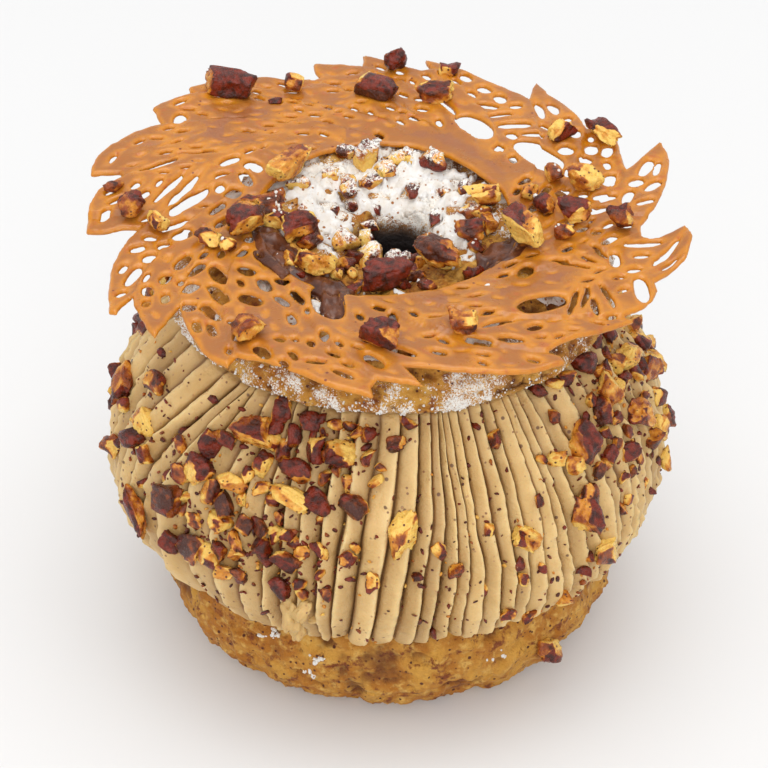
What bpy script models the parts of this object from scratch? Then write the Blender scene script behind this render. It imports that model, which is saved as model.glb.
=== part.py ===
"""An individual Paris-Brest pastry, about 95 mm across and 82 mm high.

A ring of choux is split into a base and a lid, with pleated praline cream piped
between them. A lace caramel tuile, a wreath of swirling leaves, lies on the lid,
and toasted nut pieces are scattered over the top and the cream.

Frame: metres, +Z up, origin on the table under the middle of the pastry.
The sizes below are in millimetres and are scaled by MM where they become geometry.
"""

import math
import random

import bmesh
import bpy
from mathutils import Matrix, Vector, geometry, noise

MM = 0.001
GAP = 0.3  # clearance left between neighbouring pieces
HOLE_RADIUS = 6.2  # the ring's hole, through the base and the cream

# Choux base: a shallow bowl whose wall swells out from a flat underside.
BASE_UNDERSIDE_RADIUS = 29.0
BASE_RADIUS = 38.0
BASE_SWELL_HEIGHT = 12.5
BASE_HEIGHT = 21.1
BASE_COLUMNS = 44
BASE_LUMPS = 1.4  # the wall's unevenness stays below this

# Praline cream: piped in upright pleats that bulge out over the base.
CREAM_RADIUS = 45.2
CREAM_TOP_RADIUS = 34.0
CREAM_LIP_RADIUS = 39.2
CREAM_WAIST_HEIGHT = 31.0
CREAM_LIP_HEIGHT = 18.6
CREAM_TOP = 59.2
PLEATS = 72
PLEAT_DEPTH = 1.7
PLEAT_STEPS = ((0.0, 1.0), (0.38, 0.45), (0.8, 0.0))  # place in the pleat, share of the depth
INNER_COLUMNS = 24

# Choux lid: the top half of the ring, a little higher at the back.
LID_CENTRE_X = 0.9
LID_BOTTOM = 59.5
LID_RADIUS = 35.5
LID_RIM_RADIUS = 34.5
LID_SHOULDER = 60.7
LID_CREST_RADIUS = 19.5
LID_CREST = 72.3
LID_LEAN = 1.9
LID_HOLE_RADIUS = 4.5
LID_COLUMNS = 44

# Lace tuile: leaves that swirl out from a round opening.
TUILE_THICKNESS = 1.1
TUILE_LEVEL = 73.6
TUILE_RISE = 2.7  # the back is higher than the middle by this, and the front lower
TUILE_RISE_RUN = 20.0
TUILE_DROOP = 0.0025
TUILE_DROOP_START = 26.0
TUILE_OPENING = 20.3
TUILE_BAND = 5.0  # least width of the wreath round its opening
LEAF_ROOT = 20.5
LEAF_LEAN = math.tan(math.radians(50))  # a leaf runs at this angle to the radius
LEAF_STEPS = 5
LEAVES = (  # angle of the tip, reach of the tip, half-width
    (24, 48.6, 6.4),
    (37, 45.5, 6.0),
    (57, 46.2, 6.4),
    (79, 46.0, 6.6),
    (95, 47.0, 6.2),
    (106, 47.0, 5.6),
    (133, 49.0, 7.6),
    (143, 49.0, 5.4),
    (167, 48.4, 7.4),
    (185, 47.6, 6.6),
    (210, 47.6, 7.2),
    (221, 46.0, 5.6),
    (238, 44.4, 6.4),
    (268, 45.0, 7.8),
    (277, 43.0, 5.4),
    (306, 44.6, 7.8),
    (326, 44.6, 6.8),
    (351, 48.2, 7.0),
)
TUILE_HOLES = (  # angle, distance from the axis, half-length, half-width, turn of the long axis
    (59, 28.4, 3.1, 2.3, 150),
    (33, 29.2, 4.3, 2.3, 140),
    (316, 32.0, 4.2, 2.0, 15),
    (8, 33.5, 3.0, 1.3, 60),
    (150, 33.0, 3.2, 1.1, 225),
    (168, 32.0, 4.2, 1.2, 235),
    (182, 30.5, 3.4, 1.2, 225),
    (235, 31.0, 2.6, 1.2, 290),
    (285, 34.5, 3.0, 1.1, 350),
    (100, 33.0, 2.8, 1.0, 175),
    (252, 22.8, 3.8, 2.6, 258),
)

# The larger nut pieces: length, width, thickness, and a turn about the surface's normal.
NUTS_ON_TUILE = (  # x, y, then the size and turn
    (-26.5, 34.0, 9.4, 4.8, 4.8, 162),
    (1.3, 43.1, 4.2, 4.2, 4.2, 10),
    (7.8, 32.0, 6.4, 4.4, 3.6, 170),
    (35.0, 19.2, 8.0, 4.2, 3.8, 124),
    (28.4, 20.2, 5.0, 3.4, 3.2, 34),
    (31.4, 6.2, 6.0, 4.2, 3.8, 3),
    (28.8, -2.3, 5.6, 4.6, 4.2, 145),
    (36.3, -3.2, 4.8, 4.2, 3.8, 33),
    (20.6, -7.2, 12.0, 5.0, 4.6, 114),
    (-21.8, -4.8, 7.6, 5.4, 4.6, 69),
    (-27.8, -8.2, 4.2, 3.6, 3.2, 14),
    (-40.0, -0.4, 4.4, 3.8, 3.6, 170),
    (-36.2, -4.2, 4.8, 3.4, 3.2, 129),
    (-1.0, -33.0, 7.0, 4.4, 4.2, 150),
    (11.0, -29.7, 5.0, 4.2, 3.4, 174),
    (-20.6, -31.7, 5.4, 4.8, 4.2, 12),
    (-1.8, 33.4, 8.0, 4.0, 3.8, 147),
    (-15.8, 9.8, 9.2, 4.0, 3.8, 55),
)
NUTS_ON_LID = (  # x, y, then the size and turn
    (-13.8, -3.4, 6.8, 5.0, 4.0, 23),
    (-11.2, -12.6, 7.4, 4.2, 4.0, 129),
    (-0.2, -15.0, 8.4, 4.6, 4.2, 13),
    (8.2, -9.8, 8.4, 6.0, 4.8, 152),
    (14.8, 4.6, 6.2, 4.2, 3.6, 3),
    (12.8, -3.4, 4.8, 3.8, 3.4, 3),
)
NUTS_ON_CREAM = (  # angle, height, then the size and turn
    (190, 47.0, 6.2, 4.6, 3.6, 95),
    (206, 47.0, 4.8, 4.4, 3.0, 130),
    (239, 54.5, 7.8, 5.6, 4.2, 20),
    (220, 39.6, 5.8, 5.4, 3.4, 15),
    (228, 34.5, 6.6, 5.4, 2.8, 50),
    (227, 46.7, 5.8, 5.2, 3.6, 170),
    (210, 33.0, 9.2, 3.8, 3.2, 134),
    (250, 47.7, 8.0, 3.2, 3.0, 166),
    (259, 54.3, 5.6, 4.8, 3.8, 18),
    (273, 43.9, 8.0, 4.6, 3.2, 92),
    (298, 40.0, 5.6, 4.6, 3.0, 127),
    (313, 40.9, 8.2, 6.0, 4.8, 88),
    (316, 49.8, 6.6, 5.2, 4.2, 105),
    (318, 31.0, 7.4, 4.8, 3.4, 153),
    (331, 53.4, 6.2, 4.4, 3.6, 70),
    (338, 46.4, 6.6, 4.8, 4.0, 140),
    (345, 53.6, 6.8, 4.4, 3.6, 145),
    (346, 40.4, 6.4, 4.2, 3.6, 140),
    (354, 47.5, 6.4, 5.0, 4.0, 130),
)
NUT_POINTS = 20
GOLDEN_TURN = math.pi * (3.0 - math.sqrt(5.0))  # spreads points evenly over a ball
NUT_ON_BASE = (311, 9.6, 6.0, 4.0, 3.6, 150)

CHOUX = ("choux", (0.50, 0.25, 0.06), 0.7)
CREAM = ("praline_cream", (0.56, 0.38, 0.20), 0.55)
CARAMEL = ("caramel", (0.62, 0.22, 0.04), 0.22)
NUT = ("toasted_nut", (0.55, 0.27, 0.07), 0.5)


def clear_scene():
    for item in list(bpy.data.objects):
        bpy.data.objects.remove(item, do_unlink=True)


def material(name, colour, roughness):
    found = bpy.data.materials.get(name)
    if found:
        return found
    made = bpy.data.materials.new(name)
    made.use_nodes = True
    shader = made.node_tree.nodes["Principled BSDF"]
    shader.inputs["Base Color"].default_value = (*colour, 1.0)
    shader.inputs["Roughness"].default_value = roughness
    shader.inputs["Metallic"].default_value = 0.0
    return made


def add_piece(name, shape, finish):
    """Turns a bmesh built in millimetres into a named object in metres."""
    bmesh.ops.recalc_face_normals(shape, faces=shape.faces)
    bmesh.ops.scale(shape, vec=(MM, MM, MM), verts=shape.verts)
    mesh = bpy.data.meshes.new(name)
    shape.to_mesh(mesh)
    shape.free()
    mesh.shade_smooth()
    piece = bpy.data.objects.new(name, mesh)
    piece.data.materials.append(material(*finish))
    bpy.context.scene.collection.objects.link(piece)
    return piece


def polar(radius, angle, height=0.0):
    return Vector((radius * math.cos(angle), radius * math.sin(angle), height))


def lumps(point, size, seed):
    """Smooth unevenness from -1 to 1, with features of about the given size."""
    return noise.noise(point / size + Vector((seed, seed * 2.0, 0.0)))


def stitch(shape, fine, coarse):
    """Fills the band between two closed rows, one with a multiple of the other's points."""
    share = len(fine) // len(coarse)
    for place, inner in enumerate(coarse):
        after = coarse[(place + 1) % len(coarse)]
        for step in range(share):
            start = place * share + step
            shape.faces.new((fine[start], fine[(start + 1) % len(fine)], inner))
        corner = fine[(place * share + share) % len(fine)]
        shape.faces.new((corner, after, inner))


def bridge_rows(shape, row, after):
    for place in range(len(row)):
        beyond = (place + 1) % len(row)
        shape.faces.new((row[place], row[beyond], after[beyond], after[place]))


# ---------------------------------------------------------------- choux base


def base_radius(height):
    """Outer radius of the base's wall, before its unevenness."""
    below = max(0.0, 1.0 - height / BASE_SWELL_HEIGHT)
    swell = BASE_RADIUS - BASE_UNDERSIDE_RADIUS
    over = max(0.0, height - BASE_SWELL_HEIGHT) / (BASE_HEIGHT - BASE_SWELL_HEIGHT)
    return BASE_RADIUS - swell * below**2.6 - 0.9 * over**2


def base_section(angle):
    """Cross-section of the base at an angle, as radius and height."""
    section = [(HOLE_RADIUS, 0.0), (BASE_UNDERSIDE_RADIUS, 0.0)]
    for height in (1.1, 3.8, 7.8, 12.8, 17.6):
        radius = base_radius(height)
        radius += 1.1 * lumps(polar(radius, angle, height), 14.0, 3)
        radius += 0.6 * lumps(polar(radius, angle, height), 6.0, 8)
        section.append((radius, height))
    section.append((BASE_RADIUS - 1.8, BASE_HEIGHT - 0.5))
    section.append((BASE_RADIUS - 4.0, BASE_HEIGHT))
    section.append((HOLE_RADIUS, BASE_HEIGHT))
    return section


def spun_ring(section, columns):
    """A closed ring whose cross-section may change with the angle."""
    shape = bmesh.new()
    rows = []
    for step in range(columns):
        angle = math.tau * step / columns
        rows.append([shape.verts.new(polar(r, angle, z)) for r, z in section(angle)])
    for place, row in enumerate(rows):
        bridge_rows(shape, row, rows[(place + 1) % columns])
    return shape


# ---------------------------------------------------------------- praline cream


def cream_radius(height):
    """Radius of the pleats' crests at a height."""
    if height >= CREAM_WAIST_HEIGHT:
        share = (height - CREAM_WAIST_HEIGHT) / (CREAM_TOP - CREAM_WAIST_HEIGHT)
        return CREAM_RADIUS - (CREAM_RADIUS - CREAM_TOP_RADIUS) * share**2.2
    share = (CREAM_WAIST_HEIGHT - height) / (CREAM_WAIST_HEIGHT - CREAM_LIP_HEIGHT)
    return CREAM_RADIUS - (CREAM_RADIUS - CREAM_LIP_RADIUS) * share**2


def pleat_columns():
    """Angle, share of the pleat's depth and hang of the lip for each column."""
    chance = random.Random(12)
    edges = [place + chance.uniform(-0.22, 0.22) for place in range(PLEATS)]
    columns = []
    for place, start in enumerate(edges):
        end = edges[place + 1] if place + 1 < PLEATS else edges[0] + PLEATS
        strength = chance.uniform(0.6, 1.0)
        hang = chance.uniform(-0.9, 0.9)
        for along, share in PLEAT_STEPS:
            angle = math.tau * (start + along * (end - start)) / PLEATS
            columns.append((angle, share * strength, hang))
    return columns


def build_cream():
    shape = bmesh.new()
    heights = (CREAM_TOP, 54.6, 47.4, 38.0, 29.0, 23.2)
    rows = [[] for _ in range(len(heights) + 3)]
    for angle, share, hang in pleat_columns():
        for row, height in zip(rows, heights):
            depth = PLEAT_DEPTH * share * (0.5 if height == CREAM_TOP else 1.0)
            sway = 0.5 * lumps(polar(30.0, angle, height), 11.0, 5)
            row.append(shape.verts.new(polar(cream_radius(height) - depth + sway, angle, height)))
        lip = CREAM_LIP_HEIGHT + hang
        rows[-3].append(shape.verts.new(polar(CREAM_LIP_RADIUS + 1.0, angle, lip + 0.9)))
        rows[-2].append(shape.verts.new(polar(CREAM_LIP_RADIUS, angle, lip + 0.4)))
        rows[-1].append(shape.verts.new(polar(BASE_RADIUS - 1.4, angle, BASE_HEIGHT + GAP)))
    for row, after in zip(rows, rows[1:]):
        bridge_rows(shape, row, after)
    inner = []
    for height in (CREAM_TOP, BASE_HEIGHT + GAP):
        turns = [math.tau * step / INNER_COLUMNS for step in range(INNER_COLUMNS)]
        inner.append([shape.verts.new(polar(HOLE_RADIUS, turn, height)) for turn in turns])
    stitch(shape, rows[0], inner[0])
    stitch(shape, rows[-1], inner[1])
    bridge_rows(shape, inner[0], inner[1])
    return add_piece("praline_cream", shape, CREAM)


# ---------------------------------------------------------------- choux lid


def lid_crest(angle):
    return LID_CREST + LID_LEAN * math.sin(angle)


def lid_section(angle):
    """Half of a ring doughnut: a round shoulder outside, a rounder one into the hole."""
    crest = lid_crest(angle)
    section = [(LID_HOLE_RADIUS, LID_BOTTOM), (LID_RIM_RADIUS - 2.0, LID_BOTTOM)]
    section.append((LID_RIM_RADIUS, LID_BOTTOM + 0.3))
    outer_steps, inner_steps = 6, 3
    for step in range(outer_steps + 1):
        turn = math.pi / 2 * (1 - step / outer_steps)
        radius = LID_CREST_RADIUS + (LID_RADIUS - LID_CREST_RADIUS) * math.sin(turn)
        height = LID_SHOULDER + (crest - LID_SHOULDER) * math.cos(turn)
        radius += 0.9 * lumps(polar(radius, angle, height), 11.0, 21)
        height -= 0.9 * abs(lumps(polar(radius, angle, height), 7.0, 33))
        section.append((radius, max(height, LID_BOTTOM + 0.8)))
    inner_foot = LID_BOTTOM + 5.0
    for step in range(1, inner_steps + 1):
        turn = math.pi / 2 * step / inner_steps
        radius = LID_CREST_RADIUS - (LID_CREST_RADIUS - LID_HOLE_RADIUS) * math.sin(turn)
        height = inner_foot + (crest - inner_foot) * math.cos(turn)
        section.append((radius, height))
    return section


def lid_height(x, y):
    """Height of the lid's top above a place, without its small lumps."""
    radius = math.hypot(x - LID_CENTRE_X, y)
    crest = lid_crest(math.atan2(y, x - LID_CENTRE_X))
    if radius > LID_CREST_RADIUS:
        share = min(1.0, (radius - LID_CREST_RADIUS) / (LID_RADIUS - LID_CREST_RADIUS))
        return LID_SHOULDER + (crest - LID_SHOULDER) * math.sqrt(1 - share**2)
    share = min(1.0, (LID_CREST_RADIUS - radius) / (LID_CREST_RADIUS - LID_HOLE_RADIUS))
    foot = LID_BOTTOM + 5.0
    return foot + (crest - foot) * math.sqrt(1 - share**2)


# ---------------------------------------------------------------- lace tuile


def tuile_height(x, y):
    """Height of the middle of the tuile's thickness above a place."""
    height = TUILE_LEVEL + TUILE_RISE * math.tanh(y / TUILE_RISE_RUN)
    if y < 0:
        height -= TUILE_DROOP * max(0.0, math.hypot(x, y) - TUILE_DROOP_START) ** 2
    return height


def leaf_outline(tip, reach, half_width):
    """A pointed leaf whose midrib is part of a spiral, counterclockwise to its tip."""
    midrib = []
    for step in range(LEAF_STEPS + 1):
        radius = LEAF_ROOT + (reach - LEAF_ROOT) * step / LEAF_STEPS
        turn = math.radians(tip) - LEAF_LEAN * math.log(reach / radius)
        midrib.append(polar(radius, turn).xy)
    right, left = [], []
    for step in range(LEAF_STEPS):
        share = step / LEAF_STEPS
        along = (midrib[step + 1] - midrib[max(0, step - 1)]).normalized()
        side = Vector((along.y, -along.x))
        width = half_width * (1 - share**2.2) * (0.75 + 0.6 * share)
        right.append(midrib[step] + side * width)
        left.append(midrib[step] - side * width)
    return right + [midrib[-1]] + left[::-1]


def ellipse(angle, distance, half_length, half_width, turn, points=8):
    centre = polar(distance, math.radians(angle)).xy
    outline = []
    for step in range(points):
        around = math.tau * step / points
        spot = Vector((half_length * math.cos(around), half_width * math.sin(around)))
        spot.rotate(Matrix.Rotation(math.radians(turn), 2))
        outline.append(centre + spot)
    return outline


def tuile_plan():
    """Triangulates the leaves' union, less the round opening and the holes."""
    band = TUILE_OPENING + TUILE_BAND
    leaves = [leaf_outline(*leaf) for leaf in LEAVES]
    leaves.append(ellipse(0, 0, band, band, 0, points=32))
    opening = ellipse(0, 0, TUILE_OPENING, TUILE_OPENING, 0, points=32)
    holes = [opening] + [ellipse(*hole) for hole in TUILE_HOLES]
    points, faces = [], []
    for outline in leaves + holes:
        faces.append(list(range(len(points), len(points) + len(outline))))
        points += outline
    for distance, count in ((29.0, 20), (37.0, 26)):
        points += [polar(distance, math.tau * (step + 0.5) / count).xy for step in range(count)]
    found = geometry.delaunay_2d_cdt(points, [], faces, 0, 0.05, True)
    spots, triangles, sources = found[0], found[2], found[5]
    kept = []
    for triangle, source in zip(triangles, sources):
        in_leaf = any(piece < len(leaves) for piece in source)
        in_hole = any(piece >= len(leaves) for piece in source)
        if in_leaf and not in_hole:
            kept.append(triangle)
    return spots, kept


def build_tuile():
    spots, triangles = tuile_plan()
    shape = bmesh.new()
    sheets = {}
    for place in {corner for triangle in triangles for corner in triangle}:
        x, y = spots[place]
        for side in (1, -1):
            height = tuile_height(x, y) + side * TUILE_THICKNESS / 2
            sheets[place, side] = shape.verts.new((x, y, height))
    edges = {}
    for triangle in triangles:
        for side in (1, -1):
            shape.faces.new([sheets[corner, side] for corner in triangle])
        for start, end in zip(triangle, triangle[1:] + triangle[:1]):
            edges[start, end] = edges.get((start, end), 0) + 1
    for start, end in edges:
        if (end, start) not in edges:
            shape.faces.new(
                (sheets[start, 1], sheets[end, 1], sheets[end, -1], sheets[start, -1])
            )
    return add_piece("lace_tuile", shape, CARAMEL)


# ---------------------------------------------------------------- nut pieces


def nut_shape(size, seed):
    """An angular broken nut piece: a hull of uneven points that just fills a box of the size."""
    chance = random.Random(seed)
    shape = bmesh.new()
    for step in range(NUT_POINTS):
        rise = 1.0 - 2.0 * (step + 0.5) / NUT_POINTS
        spot = polar(math.sqrt(1.0 - rise**2), step * GOLDEN_TURN + seed, rise)
        shape.verts.new(spot * chance.uniform(0.8, 1.15))
    hull = bmesh.ops.convex_hull(shape, input=shape.verts)
    inside = {item for key in ("geom_interior", "geom_unused") for item in hull[key]}
    bmesh.ops.delete(shape, geom=[item for item in inside if item.is_valid], context="VERTS")
    for axis in range(3):
        spread = [vert.co[axis] for vert in shape.verts]
        low, high = min(spread), max(spread)
        for vert in shape.verts:
            vert.co[axis] = size[axis] * ((vert.co[axis] - low) / (high - low) - 0.5)
    return shape


def add_nut(name, foot, normal, size, turn, seed):
    """Stands a nut piece on its broad side at foot, just clear of the surface."""
    shape = nut_shape(size, seed)
    lift = Matrix.Translation(foot + normal * (size[2] / 2 + GAP))
    stand = normal.to_track_quat("Z", "Y").to_matrix().to_4x4()
    bmesh.ops.transform(
        shape,
        matrix=lift @ stand @ Matrix.Rotation(math.radians(turn), 4, "Z"),
        verts=shape.verts,
    )
    return add_piece(name, shape, NUT)


def highest_under(height_at, x, y, reach):
    """Highest point of a surface within reach of a place, so that a piece stays clear."""
    around = [(0.0, 0.0)]
    around += [(math.cos(math.tau * k / 8), math.sin(math.tau * k / 8)) for k in range(8)]
    return max(height_at(x + reach * dx, y + reach * dy) for dx, dy in around)


def tuile_top(x, y):
    return tuile_height(x, y) + TUILE_THICKNESS / 2


def add_side_nut(number, angle, height, radius, slope, long, wide, thick, turn):
    """Lays a nut piece against a wall whose radius shrinks upwards by slope."""
    around = math.radians(angle)
    normal = polar(1.0, around, slope).normalized()
    foot = polar(radius, around, height)
    add_nut(f"nut_piece_{number:02d}", foot, normal, (long, wide, thick), turn, number)


def build_nuts():
    number = 0
    up = Vector((0, 0, 1))
    for surface, places in ((tuile_top, NUTS_ON_TUILE), (lid_height, NUTS_ON_LID)):
        for x, y, long, wide, thick, turn in places:
            number += 1
            foot = Vector((x, y, highest_under(surface, x, y, long / 2)))
            add_nut(f"nut_piece_{number:02d}", foot, up, (long, wide, thick), turn, number)
    for angle, height, *size_and_turn in NUTS_ON_CREAM:
        number += 1
        slope = (cream_radius(height - 1) - cream_radius(height + 1)) / 2
        add_side_nut(number, angle, height, cream_radius(height), slope, *size_and_turn)
    angle, height, *size_and_turn = NUT_ON_BASE
    number += 1
    add_side_nut(number, angle, height, base_radius(height) + BASE_LUMPS, 0.0, *size_and_turn)


def main():
    clear_scene()
    add_piece("choux_base", spun_ring(base_section, BASE_COLUMNS), CHOUX)
    build_cream()
    lid = spun_ring(lid_section, LID_COLUMNS)
    bmesh.ops.translate(lid, vec=(LID_CENTRE_X, 0, 0), verts=lid.verts)
    add_piece("choux_lid", lid, CHOUX)
    build_tuile()
    build_nuts()


main()
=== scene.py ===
"""Looks of the Paris-Brest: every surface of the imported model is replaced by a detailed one.

The frame gives the places and sizes in metres. Shapes are worked out here in millimetres,
as in the construction, and are scaled by MM where they become meshes.
"""

import math

import bmesh
import bpy
import numpy as np
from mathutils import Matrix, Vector
from mathutils.bvhtree import BVHTree


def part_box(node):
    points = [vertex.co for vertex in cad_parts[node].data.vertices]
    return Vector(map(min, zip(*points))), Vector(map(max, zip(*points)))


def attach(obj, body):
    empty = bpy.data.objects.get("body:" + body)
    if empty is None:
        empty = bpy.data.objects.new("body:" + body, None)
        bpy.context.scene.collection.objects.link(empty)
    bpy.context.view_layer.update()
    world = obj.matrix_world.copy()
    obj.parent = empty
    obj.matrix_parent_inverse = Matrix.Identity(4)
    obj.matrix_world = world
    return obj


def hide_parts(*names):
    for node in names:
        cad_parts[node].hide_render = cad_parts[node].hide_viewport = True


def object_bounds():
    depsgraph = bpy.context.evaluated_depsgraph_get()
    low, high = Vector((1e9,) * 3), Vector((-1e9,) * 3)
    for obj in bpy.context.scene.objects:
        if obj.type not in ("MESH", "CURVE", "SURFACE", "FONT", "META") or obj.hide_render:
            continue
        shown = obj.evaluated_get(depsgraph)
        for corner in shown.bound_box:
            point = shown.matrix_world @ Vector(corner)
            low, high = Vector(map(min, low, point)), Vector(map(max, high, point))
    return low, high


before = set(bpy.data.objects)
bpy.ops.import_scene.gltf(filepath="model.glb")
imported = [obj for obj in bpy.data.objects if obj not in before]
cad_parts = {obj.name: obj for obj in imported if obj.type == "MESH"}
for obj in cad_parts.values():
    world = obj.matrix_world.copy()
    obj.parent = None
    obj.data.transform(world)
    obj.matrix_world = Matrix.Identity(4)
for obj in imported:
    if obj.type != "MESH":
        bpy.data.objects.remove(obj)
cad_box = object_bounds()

MM = 0.001
TAU = math.tau
CHANCE = np.random.default_rng(2611)


def node_box(name):
    """Lowest and highest corner of a CAD node, in millimetres."""
    low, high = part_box(name)
    return np.array(low) / MM, np.array(high) / MM


BASE_HIGH = node_box("choux_base")[1]
CREAM_HIGH = node_box("praline_cream")[1]
LID_LOW, LID_HIGH = node_box("choux_lid")

# ---------------------------------------------------------------- noise and meshes


def lattice(ix, iy, iz, seed):
    """A repeatable value from -1 to 1 at each corner of a cubic lattice."""
    mixed = (ix * 73856093) ^ (iy * 19349663) ^ (iz * 83492791) ^ (seed * 40503)
    mixed = (mixed ^ (mixed >> 13)) * 1274126177
    mixed = (mixed ^ (mixed >> 16)) & 0xFFFF
    return mixed / 32767.5 - 1.0


def noise(points, size, seed=0):
    """Smooth unevenness from about -1 to 1, with features of the given size."""
    spot = np.asarray(points, float) / size
    cell = np.floor(spot).astype(np.int64)
    part = spot - cell
    ease = part * part * part * (part * (part * 6 - 15) + 10)
    total = np.zeros(len(spot))
    for dx in (0, 1):
        for dy in (0, 1):
            for dz in (0, 1):
                weight = np.abs(1 - dx - ease[:, 0])
                weight = weight * np.abs(1 - dy - ease[:, 1])
                weight = weight * np.abs(1 - dz - ease[:, 2])
                total += weight * lattice(cell[:, 0] + dx, cell[:, 1] + dy, cell[:, 2] + dz, seed)
    return total


def layered(points, sizes, seed=0):
    """Noise of several sizes on top of each other; sizes pairs feature size with height."""
    total = np.zeros(len(points))
    for step, (size, height) in enumerate(sizes):
        total += height * noise(points, size, seed + 7 * step)
    return total


def smooth(low, high, value):
    """0 below low, 1 above high, and a soft rise between; low may be the larger one."""
    share = np.clip((value - low) / (high - low), 0.0, 1.0)
    return share * share * (3 - 2 * share)


def polar(radius, angle, height):
    """Points at a radius, an angle and a height round the axis."""
    return np.stack([radius * np.cos(angle), radius * np.sin(angle), height + 0 * radius], -1)


def ring_faces(rows, columns, closed):
    """Quads of a grid whose columns run round the axis; closed joins the last row to the first."""
    row = np.arange(rows if closed else rows - 1)[:, None]
    column = np.arange(columns)[None, :]
    after_row = (row + 1) % rows
    after_column = (column + 1) % columns
    corners = (
        row * columns + column,
        row * columns + after_column,
        after_row * columns + after_column,
        after_row * columns + column,
    )
    return np.stack([np.broadcast_to(c, (row.size, columns)) for c in corners], -1).reshape(-1, 4)


SURFACES = {}


def add_piece(name, points, faces, finish, marks=None):
    """Makes a smooth-shaded mesh object in metres that rides on the pastry."""
    SURFACES[name] = BVHTree.FromPolygons(points.tolist(), faces.tolist())
    mesh = bpy.data.meshes.new(name)
    mesh.from_pydata((points * MM).tolist(), [], faces.tolist())
    mesh.validate()
    for mark, values in (marks or {}).items():
        layer = mesh.attributes.new(mark, "FLOAT", "POINT")
        layer.data.foreach_set("value", np.asarray(values, np.float32))
    mesh.shade_smooth()
    mesh.materials.append(finish)
    piece = bpy.data.objects.new(name, mesh)
    bpy.context.scene.collection.objects.link(piece)
    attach(piece, "root")
    return piece


class Heap:
    """Collects small closed shapes that become one mesh."""

    def __init__(self, *marks):
        self.points, self.faces, self.count = [], [], 0
        self.marks = {mark: [] for mark in marks}

    def add(self, points, faces, **marks):
        """Adds one shape, with a value or a row of values for each mark."""
        self.points.append(points)
        self.faces.append(faces + self.count)
        self.count += len(points)
        for mark, values in self.marks.items():
            values.append(np.broadcast_to(marks[mark], len(points)))

    def piece(self, name, finish, slot):
        """Makes the mesh of everything added."""
        marks = {mark: np.concatenate(values) for mark, values in self.marks.items()}
        points, faces = np.concatenate(self.points), np.concatenate(self.faces)
        return add_piece(name, points, faces, finish, marks)


def ball(subdivisions):
    """Unit icosphere as points and triangles."""
    shape = bmesh.new()
    bmesh.ops.create_icosphere(shape, subdivisions=subdivisions, radius=1.0)
    points = np.array([vert.co[:] for vert in shape.verts])
    faces = np.array([[vert.index for vert in face.verts] for face in shape.faces])
    shape.free()
    return points, faces


BALLS = {level: ball(level) for level in (1, 2, 3, 4, 5)}


def basis(normal, turn):
    """Right-handed axes with the third along normal, turned about it; rows are the axes."""
    normal = np.asarray(normal, float) / np.linalg.norm(normal)
    helper = np.array([0.0, 0.0, 1.0]) if abs(normal[2]) < 0.9 else np.array([0.0, 1.0, 0.0])
    side = np.cross(helper, normal)
    side /= np.linalg.norm(side)
    up = np.cross(normal, side)
    first = side * math.cos(turn) + up * math.sin(turn)
    return np.stack([first, np.cross(normal, first), normal])


# ---------------------------------------------------------------- materials


def colour(red, green, blue):
    """A colour given as screen values from 0 to 255, as the shader wants it."""
    linear = []
    for value in (red / 255, green / 255, blue / 255):
        linear.append(value / 12.92 if value <= 0.04045 else ((value + 0.055) / 1.055) ** 2.4)
    return (*linear, 1.0)


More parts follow.
